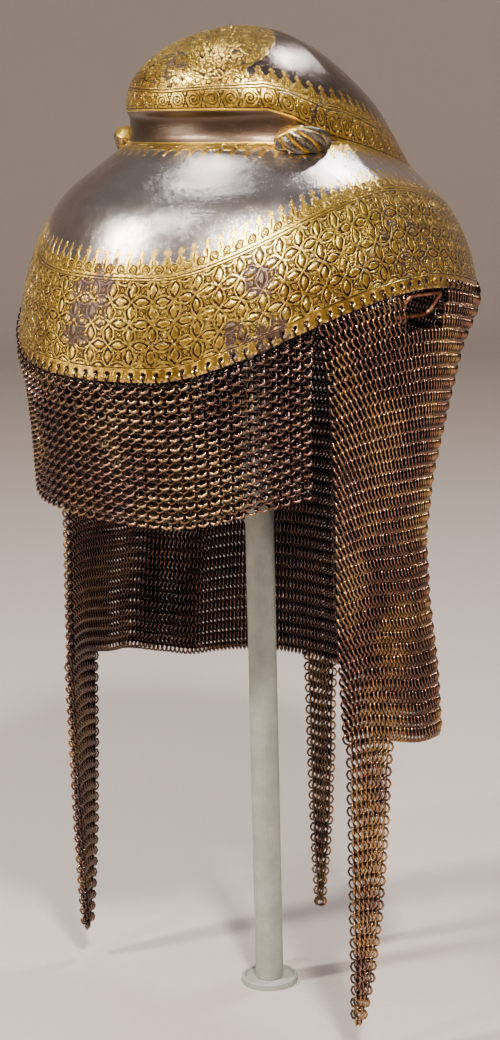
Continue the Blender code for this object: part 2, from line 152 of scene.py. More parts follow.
def tube_faces(rows, sides):
    """The quads of a tube of closed rows whose last row joins its first."""
    return round_faces(rows + 1, sides) % (rows * sides)


def turns_of(count):
    """This many equal steps of a full turn, from 0."""
    return np.arange(count) * math.tau / count


def turned(name, profile, sides):
    """A profile of (radius, level) turned round the Z axis, as one mesh of quads."""
    around = turns_of(sides)
    ring = np.stack([np.cos(around), np.sin(around), 0 * around], 1)
    points = [ring * radius + (0, 0, level) for radius, level in profile]
    return mesh_of(name, points, round_faces(len(profile), sides))


curve = np.linspace(0, math.pi / 2, SWEEP_STEPS)
sweep = [(FLOOR_START, 0.0)]
sweep += [
    (FLOOR_REACH + SWEEP_RADIUS * math.sin(turn), SWEEP_RADIUS * (1 - math.cos(turn)))
    for turn in curve
]
sweep.append((FLOOR_REACH + SWEEP_RADIUS, WALL_LEVEL))
floor = link("floor", turned("floor", sweep, SWEEP_SIDES))
floor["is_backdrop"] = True
print("floor:", len(floor.data.polygons), "faces")

# %% [markdown]
# The floor is warm grey paper. Even paper isn't one flat colour, so two near tints are
# clouded into each other by a fine noise. A weak warm light comes from all round, which
# keeps the sides that no lamp reaches from going black.

# %% The floor's paper and the light all round
PAPER_GRAIN = 260.0
PAPER_DARK = (0.475, 0.405, 0.370, 1)
PAPER_LIGHT = (0.545, 0.475, 0.435, 1)
ROOM_LIGHT = (1.0, 0.93, 0.87, 1)
ROOM_STRENGTH = 0.22

floor_paper = bpy.data.materials.new("floor_paper")
floor_paper.use_nodes = True
paper = floor_paper.node_tree
grain = paper.nodes.new("ShaderNodeTexNoise")
grain.inputs["Scale"].default_value = PAPER_GRAIN
grain.inputs["Detail"].default_value = 6.0
floor_place = paper.nodes.new("ShaderNodeTexCoord")
paper.links.new(floor_place.outputs["Object"], grain.inputs["Vector"])
two_tints = paper.nodes.new("ShaderNodeMix")
two_tints.data_type = "RGBA"
two_tints.inputs["A"].default_value = PAPER_DARK
two_tints.inputs["B"].default_value = PAPER_LIGHT
paper.links.new(grain.outputs["Fac"], two_tints.inputs["Factor"])
sheet = paper.nodes["Principled BSDF"]
paper.links.new(two_tints.outputs["Result"], sheet.inputs["Base Color"])
sheet.inputs["Roughness"].default_value = 0.85
floor.data.materials.append(floor_paper)

world = bpy.data.worlds.new("room")
world.use_nodes = True
background = world.node_tree.nodes["Background"]
background.inputs["Color"].default_value = ROOM_LIGHT
background.inputs["Strength"].default_value = ROOM_STRENGTH
bpy.context.scene.world = world
print("light all round:", ROOM_STRENGTH)

# %% [markdown]
# ## The lamps
# Each bright spot on a polished bowl is the mirror image of a lamp. The first five lamps hang
# where the view ray to their spot is thrown by the metal, so the spots fall where they
# should. The last one is a wide, weak fill from the left, low down, that opens the shadows
# in the mail.

# %% Lamps
LAMP_COLUMNS = ("name", "azimuth", "elevation", "away", "size", "power", "color")
LAMPS = (
    ("front", -27.0, 42.0, 1.45, 0.16, 30.0, (1.0, 0.92, 0.82)),
    ("near_side", 54.0, 43.0, 1.45, 0.16, 42.0, (1.0, 0.91, 0.80)),
    ("behind", 176.0, 53.0, 1.40, 0.17, 11.0, (0.97, 0.96, 1.0)),
    ("small_front", -4.0, 60.0, 1.60, 0.10, 5.0, (1.0, 0.97, 0.93)),
    ("overhead", -110.0, 73.0, 1.60, 0.24, 6.0, (0.97, 0.98, 1.0)),
    ("left_fill", -30.0, 12.0, 1.50, 0.60, 8.0, (1.0, 0.93, 0.82)),
)
HELMET_MIDDLE = Vector((0, 0, 0.39))


def named_rows(columns, rows):
    """Each row of a table as a dict, under the names of the table's columns."""
    return [dict(zip(columns, row)) for row in rows]


for lamp in named_rows(LAMP_COLUMNS, LAMPS):
    light = bpy.data.lights.new(lamp["name"], "AREA")
    light.shape = "DISK"
    light.size = lamp["size"]
    light.energy = lamp["power"]
    light.color = lamp["color"]
    azimuth, elevation = math.radians(lamp["azimuth"]), math.radians(lamp["elevation"])
    outward = Vector((
        math.sin(azimuth) * math.cos(elevation),
        -math.cos(azimuth) * math.cos(elevation), math.sin(elevation),
    ))
    lamp_place = HELMET_MIDDLE + outward * lamp["away"]
    add(lamp["name"], light).matrix_world = aimed(lamp_place, -outward)
print("lamps:", len(LAMPS))

# %% [markdown]
# ## The form of the bowl
# The iron bowl was raised from one sheet: a tall bowl, a crease, and a bun over it whose
# front stands clear over a hollow neck. Its form is kept as short tables of rows from the
# rim to the top, the same as in the CAD. Points between the rows are taken from a smooth
# curve through them, so the polished surface has no facets.

# %% Sizes and rows of the bowl
RIM_LEVEL = 0.3382
RIM_FRONT_REACH = 0.1205
RIM_SIDE_REACH = 0.1010
RIM_REAR_REACH = 0.1145
RIM_PITCH = math.radians(8.0)
RIM_CANT = math.radians(3.2)
RIM_DROP = (RIM_FRONT_REACH + RIM_REAR_REACH) / 2 * math.tan(RIM_PITCH)
CANT_DROP = RIM_SIDE_REACH * math.tan(RIM_CANT)
EAR_ARCH_RISE = 0.0230
EAR_ARCH_PEAK = 82.0
EAR_ARCH_FRONT_SPAN = 58.0
EAR_ARCH_REAR_SPAN = 52.0
EAR_ARCH_POWER = 0.8
RIM_BAND_HEIGHT = 0.0075
SHELL_WALL = 0.0016
CREASE_FRONT_LEVEL = 0.4200
CREASE_SIDE_LEVEL = 0.4185
CREASE_REAR_LEVEL = 0.3960
CREASE_REACH = 0.0585
CREASE_REAR_REACH = 0.1010
APEX = np.array((0, -0.0070, 0.4724))
COVE_FULL = 50.0
COVE_END = 90.0
FINE_STEPS = 1441

BOWL_COLUMNS = ("rise", "front_inset", "side_inset", "rear_inset")
BOWL_ROWS = (
    (0.00, 0.012, 0.035, 0.000),
    (0.20, 0.055, 0.115, 0.020),
    (0.38, 0.130, 0.230, 0.080),
    (0.55, 0.240, 0.370, 0.200),
    (0.70, 0.390, 0.540, 0.360),
    (0.83, 0.620, 0.760, 0.540),
    (0.93, 0.840, 0.910, 0.740),
    (1.00, 1.000, 1.000, 1.000),
)
CROWN_COLUMNS = (
    "front_reach", "front_rise", "side_reach", "side_rise", "rear_reach", "rear_rise",
)
CROWN_ROWS = (
    (0.955, 0.070, 0.985, 0.025, 0.985, 0.015),
    (0.950, 0.215, 0.980, 0.065, 0.950, 0.050),
    (0.995, 0.280, 0.985, 0.115, 0.910, 0.095),
    (1.005, 0.400, 0.965, 0.245, 0.810, 0.235),
    (0.965, 0.560, 0.895, 0.440, 0.675, 0.440),
    (0.850, 0.715, 0.755, 0.640, 0.490, 0.640),
    (0.660, 0.855, 0.555, 0.820, 0.285, 0.825),
    (0.395, 0.958, 0.285, 0.950, 0.085, 0.950),
)
bowl_form = named_rows(BOWL_COLUMNS, BOWL_ROWS)
crown_form = named_rows(CROWN_COLUMNS, CROWN_ROWS)
print("rows in the tables:", len(bowl_form), "for the bowl,", len(crown_form), "for the bun")

# %% [markdown]
# At each level the plan is two half ellipses, one in front and one behind, that share their
# width. The rim arches up over each ear, and it lies lower in front and a little lower on
# the left. Every function takes an angle from the front, or a whole array of them.

# %% Functions for the form of the bowl
def smoothstep(share):
    held = np.clip(share, 0.0, 1.0)
    return held * held * (3 - 2 * held)


def mixed(first, second, share):
    return first + (second - first) * share


def wrapped(angle):
    """The same angle, between half a turn back and half a turn on."""
    return (np.asarray(angle, float) + math.pi) % math.tau - math.pi


def rim_level_at(angle):
    away = np.degrees(np.abs(wrapped(angle))) - EAR_ARCH_PEAK
    span = np.where(away < 0, EAR_ARCH_FRONT_SPAN, EAR_ARCH_REAR_SPAN)
    swell = (1 + np.cos(math.pi * np.clip(away / span, -1, 1))) / 2
    arch = EAR_ARCH_RISE * swell ** EAR_ARCH_POWER
    return RIM_LEVEL - RIM_DROP * np.cos(angle) - CANT_DROP * np.sin(angle) + arch


def crease_level_at(angle):
    forward = np.maximum(np.cos(angle), 0)
    rearward = np.maximum(-np.cos(angle), 0)
    rise = (CREASE_FRONT_LEVEL - CREASE_SIDE_LEVEL) * smoothstep(forward)
    return CREASE_SIDE_LEVEL + rise - (CREASE_SIDE_LEVEL - CREASE_REAR_LEVEL) * rearward


def plan_points(angle, front, side, rear, level):
    """Points on two half ellipses that share their width, at their levels."""
    reach = np.where(np.cos(angle) > 0, front, rear)
    return np.stack([side * np.sin(angle), -reach * np.cos(angle), level + 0 * angle], -1)


def rim_points(angle, inward=0.0, lower=0.0):
    flat = plan_points(angle, RIM_FRONT_REACH, RIM_SIDE_REACH, RIM_REAR_REACH, 0.0)
    out = flat / np.linalg.norm(flat, axis=-1, keepdims=True)
    points = flat - out * inward
    points[..., 2] = rim_level_at(angle) - lower
    return points


def run_of(line):
    """How far along a line of points each of them is."""
    steps = np.linalg.norm(np.diff(line, axis=0), axis=1)
    return np.concatenate([[0], np.cumsum(steps)])


def rim_angles(count, first=-math.pi, last=math.pi):
    """Angles that part the rim's edge into equal lengths."""
    fine = np.linspace(first, last, FINE_STEPS)
    run = run_of(rim_points(fine))
    return np.interp(np.linspace(0, run[-1], count + 1), run, fine)


def bowl_row(row, angle):
    front = mixed(RIM_FRONT_REACH, CREASE_REACH, row["front_inset"])
    side = mixed(RIM_SIDE_REACH, CREASE_REACH, row["side_inset"])
    rear = mixed(RIM_REAR_REACH, CREASE_REAR_REACH, row["rear_inset"])
    foot = rim_level_at(angle) + RIM_BAND_HEIGHT
    return plan_points(angle, front, side, rear, mixed(foot, crease_level_at(angle), row["rise"]))


def crown_row(row, angle):
    front = CREASE_REACH * row["front_reach"]
    side = CREASE_REACH * row["side_reach"]
    rear = CREASE_REAR_REACH * row["rear_reach"]
    turned_by = np.degrees(np.abs(wrapped(angle)))
    held = smoothstep((COVE_END - turned_by) / (COVE_END - COVE_FULL))
    forward = mixed(row["side_rise"], row["front_rise"], held)
    rearward = mixed(row["side_rise"], row["rear_rise"], -np.cos(angle))
    rise = np.where(turned_by < COVE_END, forward, rearward)
    return plan_points(angle, front, side, rear, mixed(crease_level_at(angle), APEX[2], rise))


print("rim level in front and behind:", *(round(float(rim_level_at(a)), 4) for a in (0, math.pi)))

# %% [markdown]
# The curve between rows is a centripetal Catmull-Rom spline, worked for all the columns at
# once. It passes through every row and doesn't swing out between close ones.

# %% A smooth curve through rows
def through(rows, steps, end_mirror=None):
    """Rows of points on a smooth curve through each column of the rows."""
    rows = np.asarray(rows)
    before = 2 * rows[0] - rows[1]
    after = 2 * rows[-1] - rows[-2] if end_mirror is None else end_mirror
    held = np.concatenate([before[None], rows, after[None]])
    made = []
    for k in range(1, len(held) - 2):
        a, b, c, d = held[k - 1:k + 3]
        knots = [np.zeros(a.shape[:-1] + (1,))]
        for low, high in ((a, b), (b, c), (c, d)):
            gap = np.linalg.norm(high - low, axis=-1, keepdims=True) ** 0.5 + 1e-5
            knots.append(knots[-1] + gap)
        for share in np.arange(steps) / steps:
            t = mixed(knots[1], knots[2], share)
            ab = mixed(a, b, (t - knots[0]) / (knots[1] - knots[0]))
            bc = mixed(b, c, (t - knots[1]) / (knots[2] - knots[1]))
            cd = mixed(c, d, (t - knots[2]) / (knots[3] - knots[2]))
            abc = mixed(ab, bc, (t - knots[0]) / (knots[2] - knots[0]))
            bcd = mixed(bc, cd, (t - knots[1]) / (knots[3] - knots[1]))
            made.append(mixed(abc, bcd, (t - knots[1]) / (knots[2] - knots[1])))
    made.append(rows[-1])
    return np.array(made)


# %% [markdown]
# ## The bowl's mesh, with its rim holes
# The bowl has four columns of points to each rim hole. Over the top of the bun each column's
# curve goes on toward the column across from it, so that the top is round and has no point.

# %% The rows of the whole bowl
HOLE_COUNT = 120
CELL_COLUMNS = 4
BOWL_STEPS = 4
CROWN_STEPS = 4

columns = HOLE_COUNT * CELL_COLUMNS
angles = rim_angles(columns)[:-1]
rim_length = run_of(rim_points(np.append(angles, math.pi)))[-1]
bowl_rows = [bowl_row(row, angles) for row in bowl_form]
crown_rows = [bowl_rows[-1]] + [crown_row(row, angles) for row in crown_form]
over_top = np.interp(
    (angles + math.pi + math.pi) % math.tau, np.append(angles, math.pi) + math.pi,
    np.arange(columns + 1),
).astype(int) % columns
over_row = crown_rows[-1][over_top]
crown_rows.append(np.broadcast_to(APEX, (columns, 3)))
bowl_part = through(bowl_rows, BOWL_STEPS)
crown_part = through(crown_rows, CROWN_STEPS, end_mirror=over_row)[1:]
CREASE_INDEX = len(bowl_part) - 1
shell_rows = np.concatenate([bowl_part, crown_part])[:-1]
print("rim length", round(float(rim_length), 4), "rows", len(shell_rows), "columns", columns)

# %% [markdown]
# A hole for a mail ring goes through the rim about every 6 mm. Booleans would cost time and
# leave poor shading, so each hole has its own small cell of faces: sixteen points on the
# cell's border, joined to sixteen round the hole, with one row of sixteen between them.

# %% One cell with its hole
HOLE_RADIUS = 0.0011
HOLE_HEIGHT = 0.0034
CELL_POINTS = 4 * CELL_COLUMNS
SPOKE_START = -135.0
BETWEEN_SHARE = 0.55


def cell_border():
    """(across, up) of the points round a cell, from its lower left corner."""
    quarter = np.arange(CELL_COLUMNS) / CELL_COLUMNS
    low = [(share, 0.0) for share in quarter]
    right = [(1.0, share) for share in quarter]
    high = [(1 - share, 1.0) for share in quarter]
    left = [(0.0, 1 - share) for share in quarter]
    return np.array(low + right + high + left)


def on_strip(place):
    """Points on the strip between the rim's edge and the bowl's first row. Each place is
    (column, up), and its column need not be whole."""
    place = np.asarray(place)
    angle = np.interp(place[..., 0] % columns, np.arange(columns + 1), np.append(angles, math.pi))
    low = rim_points(angle)
    high = bowl_row(bowl_form[0], angle)
    return mixed(low, high, place[..., 1:2])


cell_length = rim_length / HOLE_COUNT
border = cell_border()
spokes = np.radians(SPOKE_START + 360.0 / CELL_POINTS * np.arange(CELL_POINTS))
hole_middle = np.array((0.5, HOLE_HEIGHT / RIM_BAND_HEIGHT))
hole_reach = np.array((HOLE_RADIUS / cell_length, HOLE_RADIUS / RIM_BAND_HEIGHT))
hole_ring = hole_middle + np.stack([np.cos(spokes), np.sin(spokes)], 1) * hole_reach
between = mixed(border, hole_ring, BETWEEN_SHARE)
print("a cell is", round(float(cell_length), 5), "long, with", CELL_POINTS, "points round it")

# %% [markdown]
# Cells that touch share the points of their borders. A dictionary of keys gives each point
# its number, so that a point is made only once and the strip is one closed surface.

# %% The strip of cells round the rim
places = []
index_of = {}


def vertex(key, place):
    """The number of the strip's vertex with this key, made when it is first asked for."""
    if key not in index_of:
        index_of[key] = len(places)
        places.append(place)
    return index_of[key]


strip_faces = []
for cell in range(HOLE_COUNT):
    rings = []
    for name, ring in (("border", border), ("between", between), ("hole", hole_ring)):
        row = []
        for k, (across, up) in enumerate(ring):
            column = (cell + across) * CELL_COLUMNS
            key = (name, cell, k)
            if name == "border":
                key = (round(column) % columns, round(up * CELL_COLUMNS))
            row.append(vertex(key, (column % columns, up)))
        rings.append(row)
    for outer, inner in zip(rings, rings[1:]):
        for k in range(CELL_POINTS):
            after = (k + 1) % CELL_POINTS
            strip_faces.append((outer[k], outer[after], inner[after], inner[k]))
places = np.array(places)
strip_points = on_strip(places)
top_of_strip = [index_of[(k, CELL_COLUMNS)] for k in range(columns)]
print("strip:", len(places), "points,", len(strip_faces), "faces")

# %% [markdown]
# Above the strip the rows are joined by plain quads, and the last row closes on the top
# point with quads too, each over two columns.

# %% The whole mesh
shell_count = len(shell_rows)
upper_start = len(strip_points)
number = np.arange((shell_count - 1) * columns).reshape(shell_count - 1, columns) + upper_start
number = np.concatenate([[top_of_strip], number])
upper_faces = []
for low, high in zip(number, number[1:]):
    upper_faces.append(np.stack([low, np.roll(low, -1), np.roll(high, -1), high], 1))
upper_faces = np.concatenate(upper_faces)
apex_index = upper_start + (shell_count - 1) * columns
last = number[-1]
cap_faces = np.stack([last[0::2], np.roll(last, -1)[0::2], np.roll(last, -2)[0::2],
                      np.full(columns // 2, apex_index)], 1)
points = np.concatenate([strip_points, shell_rows[1:].reshape(-1, 3), [APEX]])
faces = np.concatenate([np.array(strip_faces), upper_faces, cap_faces])
bowl_mesh = mesh_of("skull_polished", points, faces)
print("bowl:", len(points), "points,", len(faces), "faces, holes", HOLE_COUNT)

# %% [markdown]
# Three UV maps measure the surface in metres: the way up from the rim, from the crease, and
# from the lower edge of the bun, each with the run round the bowl along its own line. Bands
# that follow those lines on the real helmet can then be drawn as plain level bands. Above
# the wide band, and above the bun's double line, the way up is measured on the surface, so
# that the leaves there keep their height where the metal leans inward. Two short tables
# give the bun's lower edge above the crease, and its double line above that edge, at
# angles from the front. They are the same on both sides.

# %% The way up, from three lines
BUN_EDGE = (
    (0, 0.0147), (50, 0.0145), (61, 0.0112), (69, 0.0072), (80, 0.0022), (90, 0.0), (180, 0.0),
)
BUN_LINE = ((0, 0.0086), (45, 0.0110), (90, 0.0150), (180, 0.0170))
BUN_LINE_MAPPED = 0.010
BAND_LEVEL = 0.0435


def read_at(table, at, column=1):
    """A column of a table, read between its rows where the first column is `at`."""
    held = np.asarray(table)
    return np.interp(at, held[:, 0], held[:, column])


def by_angle(table):
    """The table's values at each column of the bowl, the same on both sides."""
    return read_at(table, np.degrees(np.abs(angles)))


def where_reached(levels, rising, wanted):
    """What is wanted of each column of the bowl, where its rising values reach a level."""
    levels = np.broadcast_to(levels, columns)
    return np.array([
        np.interp(levels[k], rising[:, k], wanted[:, k]) for k in range(columns)
    ])


whole = np.concatenate([bowl_part, crown_part])
lengths = np.linalg.norm(np.diff(whole, axis=0), axis=-1)
surface = np.concatenate([np.zeros((1, columns)), np.cumsum(lengths, axis=0)])
above_rim = whole[..., 2] - rim_level_at(angles)
below_crease, over_crease = slice(CREASE_INDEX + 1), slice(CREASE_INDEX, None)
band_start = where_reached(BAND_LEVEL, above_rim[below_crease], surface[below_crease])
from_rim = np.where(surface < band_start, above_rim, BAND_LEVEL + surface - band_start)
from_crease = surface - surface[CREASE_INDEX]
bun_levels = crease_level_at(angles) + by_angle(BUN_EDGE)
bun_start = where_reached(bun_levels, whole[over_crease, :, 2], surface[over_crease])
from_bun = surface - bun_start
line_at = by_angle(BUN_LINE)
from_bun = np.where(
    from_bun < line_at, from_bun * BUN_LINE_MAPPED / line_at, BUN_LINE_MAPPED + from_bun - line_at
)
bun_row = np.stack([
    where_reached(BUN_LINE_MAPPED, from_bun, whole[..., axis]) for axis in range(3)
], 1)
print("way up from the rim to the top:", round(float(from_rim[-1].max()), 4))

# %% [markdown]
# A UV map holds a pair for each corner of each face. A face that crosses the place where
# the run starts again gets the full length added on its far side. The top point has no
# direction of its own, so each face there gives it the mean run of its other corners.

# %% The three UV maps
corner = np.array([loop.vertex_index for loop in bowl_mesh.loops], int)
at_apex = corner.reshape(-1, 4) == apex_index
round_length = {}
for name, values, row in (
    ("rim_map", from_rim, rim_points(angles)),
    ("crease_map", from_crease, whole[CREASE_INDEX]),
    ("bun_map", from_bun, bun_row),
):
    row_run = run_of(np.concatenate([row, row[:1]]))
    round_length[name] = float(row_run[-1])
    start = np.interp(places[:, 0], np.arange(columns), values[0])
    low_values = start - (1 - places[:, 1]) * RIM_BAND_HEIGHT
    low_run = np.interp(places[:, 0], np.arange(columns + 1), row_run)
    upper_run = np.broadcast_to(row_run[:-1], (shell_count - 1, columns)).ravel()
    run_at = np.concatenate([low_run, upper_run, [0.0]])[corner].reshape(-1, 4)
    value_at = np.concatenate([low_values, values[1:shell_count].ravel(), [values[-1].mean()]])
    crossing = run_at.max(1, keepdims=True) - run_at > row_run[-1] / 2
    run_at = np.where(crossing, run_at + row_run[-1], run_at)
    mean = np.where(at_apex, 0, run_at).sum(1, keepdims=True) / 3
    run_at = np.where(at_apex, mean, run_at)
    layer = bowl_mesh.uv_layers.new(name=name)
    pairs = np.stack([run_at.ravel(), value_at[corner]], 1).astype(np.float32)
    layer.data.foreach_set("uv", pairs.ravel())
print("lengths round:", {name: round(value, 4) for name, value in round_length.items()})

# %% [markdown]
# The mesh is the bowl's outside. A Solidify modifier gives it the wall of the sheet, inward,
# and puts the second material on the inside and round the edges.

# %% The bowl as a piece
skull = link("skull_polished", bowl_mesh)
wall = skull.modifiers.new("wall", "SOLIDIFY")
wall.thickness = SHELL_WALL
wall.offset = -1.0
wall.use_even_offset = True
wall.material_offset = 1
wall.material_offset_rim = 1
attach(skull, "root")
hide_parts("skull")
print("wall:", SHELL_WALL)

# %% [markdown]
# ## Mail, ring by ring
# Riveted iron mail is woven so that each ring holds the two above it and the two below.
# More than twelve thousand separate objects would be slow, so every panel is one mesh: the
# points of one small ring are turned and placed for all the rings at once with arrays. Rows
# alternate in the way they lean, which is what makes mail look like mail.

# %% One ring, and many of them
RING_SEGMENTS = 8
WIRE_SIDES = 3
WIRE = 0.00140


def rotated(first, second, angle):
    """Two axes or coordinates, turned by an angle from the first toward the second."""
    cos, sin = np.cos(angle), np.sin(angle)
    return first * cos - second * sin, first * sin + second * cos


def ring_mesh(name, middles, along, up, out, radius, lean, turn, wire=WIRE, squash=1.0, slant=0.0):
    """Rings at all the middles, each in its own frame (along, up, out). Each is turned about
    `up` by `turn`, then leans about `along` by `lean`, and is slanted about `out` by `slant`.
    All are radians. A UV map says how far out of the mail, and how high in its ring, the
    metal is."""
    count = len(middles)
    up, along = rotated(up, along, np.broadcast_to(slant, count)[:, None])
    around, across = turns_of(RING_SEGMENTS), turns_of(WIRE_SIDES)
    bulge = np.cos(across)[None, :] * wire / 2
    flat = np.sin(across)[None, :] * wire / 2 + 0 * around[:, None]
    x = np.cos(around)[:, None] * (radius + bulge)
    y = np.sin(around)[:, None] * (radius * squash + bulge)
    shape = np.stack([x, y, flat], -1).reshape(-1, 3)
    x, y, z = (shape[None, :, k] for k in range(3))
    x, z = rotated(x, z, turn[:, None])
    y, z = rotated(y, z, lean[:, None])
    points = (
        middles[:, None] + x[..., None] * along[:, None]
        + y[..., None] * up[:, None] + z[..., None] * out[:, None]
    )
    quads = tube_faces(RING_SEGMENTS, WIRE_SIDES)
    faces = (quads[None] + (np.arange(count) * len(shape))[:, None, None]).reshape(-1, 4)
    made = mesh_of(name, points, faces)
    place = np.stack([z, y + 0 * z], -1).reshape(-1, 2).astype(np.float32)
    made.uv_layers.new(name="depth_map").data.foreach_set("uv", place[faces.ravel()].ravel())
    return made


def unit(vectors):
    return vectors / np.maximum(np.linalg.norm(vectors, axis=-1, keepdims=True), 1e-9)


def frames_on(grid):
    """The frame (along, up, out) at each point of a grid of rows that run downward."""
    along = unit(np.gradient(grid, axis=1))
    up = unit(-np.gradient(grid, axis=0))
    out = unit(np.cross(along, up))
    return along, unit(np.cross(out, along)), out


print("faces of one ring:", RING_SEGMENTS * WIRE_SIDES)

# %% [markdown]
# ## The face panel
# In front, one ring hangs from each rim hole, and the rows are packed close. Every ring
# leans with its lower arc outward, so these arcs make even rows of small smiles. Alternate
# rows lean far and little, and the ones that lean little sit higher, as linked rings do.
# The panel falls almost straight.

# %% The panel's form
SLIT = math.radians(61.0)
MAIL_HALF = 0.0014
GAP = 0.0003
FACE_ROW_DROP = 0.0021
FACE_ROW_LIFT = 0.0008
FACE_DROP_FRONT = 0.0630
FACE_DROP_END = 0.0755
FACE_LEANS = (math.radians(-50.0), math.radians(-14.0))
FACE_RING = 0.00235
FACE_EDGE_ROOM = 0.0021
FACE_ROWS = ((0.00, 1.000), (0.06, 1.000), (0.25, 0.972), (0.60, 0.955), (1.00, 0.945))

slit_edge = math.asin((2 * MAIL_HALF + GAP) / 2 / RIM_SIDE_REACH)
hole_angles = rim_angles(HOLE_COUNT * 2)[1::2]
face_edge = SLIT - slit_edge - FACE_EDGE_ROOM / RIM_SIDE_REACH
face_angles = hole_angles[np.abs(hole_angles) < face_edge]
face_pitch = np.diff(face_angles).mean()
face_row_count = int(FACE_DROP_FRONT / FACE_ROW_DROP) + 1


def face_points(angle, share):
    """Points of the panel at these angles and shares of the way down."""
    top = rim_points(angle, inward=SHELL_WALL / 2, lower=2 * GAP)
    drop = mixed(FACE_DROP_FRONT, FACE_DROP_END, (angle / SLIT) ** 2)
    reach = read_at(FACE_ROWS, share)
    return np.stack([top[..., 0] * reach, top[..., 1] * reach, top[..., 2] - drop * share], -1)


print("face panel:", len(face_angles), "holes carry it")

# %% [markdown]
# Every second row is shifted by half a ring. One random generator sets each ring a little
# off its neat place, and all the mail draws from it in turn.

# %% The panel's rings
FACE_FIRST_ROW = 0.9 * FACE_RING
FACE_LAST_ROOM = 0.6
RING_LOOSE = 0.035

row_numbers = np.arange(face_row_count)
falls = row_numbers * FACE_ROW_DROP + FACE_FIRST_ROW - FACE_ROW_LIFT * (row_numbers % 2)
shares = falls / FACE_DROP_FRONT
shares = shares[shares < 1 - FACE_RING / FACE_DROP_FRONT * FACE_LAST_ROOM]
grid_angles = np.array([
    face_angles + (face_pitch / 2 if row % 2 else 0) for row in range(len(shares))
])
grid = face_points(grid_angles, np.broadcast_to(shares[:, None], grid_angles.shape))
frames = frames_on(grid)
lean = np.where(np.arange(len(shares)) % 2 == 0, *FACE_LEANS)[:, None] + 0 * grid_angles
keep = grid_angles < face_edge
shake = np.random.default_rng(7)


def rings_from(name, keep, grid, frames, radius, lean, turn, slant):
    """The kept rings of a grid as one mesh, each a little off its neat place, as woven."""
    loose = shake.normal(0, RING_LOOSE, (2, int(keep.sum())))
    return link(name, ring_mesh(
        name, grid[keep], *(axis[keep] for axis in frames), radius,
        lean[keep] + loose[0], turn[keep] + loose[1], slant=slant[keep],
    ))


straight = 0 * lean
face_mail = rings_from(
    "face_mail_rings", keep, grid, frames, FACE_RING, lean, straight, straight,
)
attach(face_mail, "root")
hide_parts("face_mail")
print("face panel:", int(keep.sum()), "rings in", len(shares), "rows")

# %% [markdown]
# ## The neck curtain
# The curtain hangs from the sides and the back, draws in below the bowl, and hangs nearly
# straight. It is worked out as columns first, each of them as long as its real fall. The
# table gives its reach at shares of the fall: at its front edges, at the sides and behind.

# %% Curtain surface
NECK_LENGTH = 0.2070
NECK_EDGE_SHARE = 0.92
NECK_SETTLED = 0.40
NECK_COLUMNS = ("share", "edge_side", "edge_front", "side", "rear")
NECK_ROWS = (
    (0.00, 0.875, 0.485, 1.000, 1.000),
    (0.02, 0.875, 0.485, 1.000, 1.000),
    (0.12, 0.870, 0.435, 0.985, 0.825),
    (0.26, 0.868, 0.410, 0.955, 0.685),
    (0.42, 0.868, 0.400, 0.915, 0.540),
    (0.56, 0.868, 0.400, 0.905, 0.450),
    (0.70, 0.870, 0.398, 0.935, 0.420),
    (0.85, 0.880, 0.395, 0.985, 0.410),
    (1.00, 0.890, 0.390, 1.010, 0.400),
)
FINE_RINGS = 480
FINE_ROWS = 100


def neck_plan(share, angle):
    """The curtain's place in plan at a share of its fall, below a point of the rim."""
    edge_side, edge_front, side, rear = (
        read_at(NECK_ROWS, share, k) for k in range(1, len(NECK_COLUMNS))
    )
    over = np.abs(angle) - math.pi / 2
    within = np.clip((np.abs(angle) - SLIT) / (math.pi / 2 - SLIT), 0, 1)
    x_front = mixed(RIM_SIDE_REACH * edge_side, RIM_SIDE_REACH * side, np.sin(within * math.pi / 2))
    y_front = RIM_FRONT_REACH * edge_front * over / (math.pi / 2 - SLIT)
    x = np.where(over < 0, x_front, RIM_SIDE_REACH * side * np.cos(over))
    y = np.where(over < 0, y_front, RIM_REAR_REACH * rear * np.sin(over))
    return np.stack([np.copysign(x, angle), y], -1)


def neck_surface(angle, shares):
    """Rows of the curtain at shares of its fall, worked down from the rim."""
    angle = wrapped(angle)
    top = rim_points(angle, inward=SHELL_WALL / 2, lower=2 * GAP)
    from_rim = top[..., :2] - neck_plan(0.0, angle)
    length = NECK_LENGTH * mixed(
        NECK_EDGE_SHARE, 1.0, smoothstep((np.abs(angle) - SLIT) / (math.pi / 2 - SLIT))
    )
    rows = [top]
    for before, share in zip(shares, shares[1:]):
        here = neck_plan(share, angle) + from_rim * (1 - smoothstep(share / NECK_SETTLED))
        away = np.linalg.norm(here - rows[-1][..., :2], axis=-1)
        step = (share - before) * length
        drop = np.sqrt(step ** 2 - np.minimum(away, step / 2) ** 2)
        rows.append(np.concatenate([here, (rows[-1][..., 2] - drop)[..., None]], -1))
    return np.array(rows)


neck_edge = SLIT + slit_edge
neck_shares = [row[0] for row in NECK_ROWS]
fine_angles = rim_angles(FINE_RINGS, neck_edge, math.tau - neck_edge)
fine_shares = np.linspace(0, 1, FINE_ROWS + 1)
coarse = neck_surface(fine_angles, neck_shares)
fine = np.array([
    [np.interp(fine_shares, neck_shares, coarse[:, k, axis]) for axis in range(3)]
    for k in range(len(fine_angles))
]).transpose(2, 0, 1)
print("curtain surface:", len(fine), "rows of", len(fine_angles), "points")

# %% [markdown]
# Every row has the same number of rings at equal steps. The rings stand nearly edge on.
# Alternate rows are turned the other way and lie a little deeper, so the outer rows show as
# bands of short upright strokes. The rings also slant a little, one way on the left half
# and the other way on the right, and every second row is slanted the other way again.

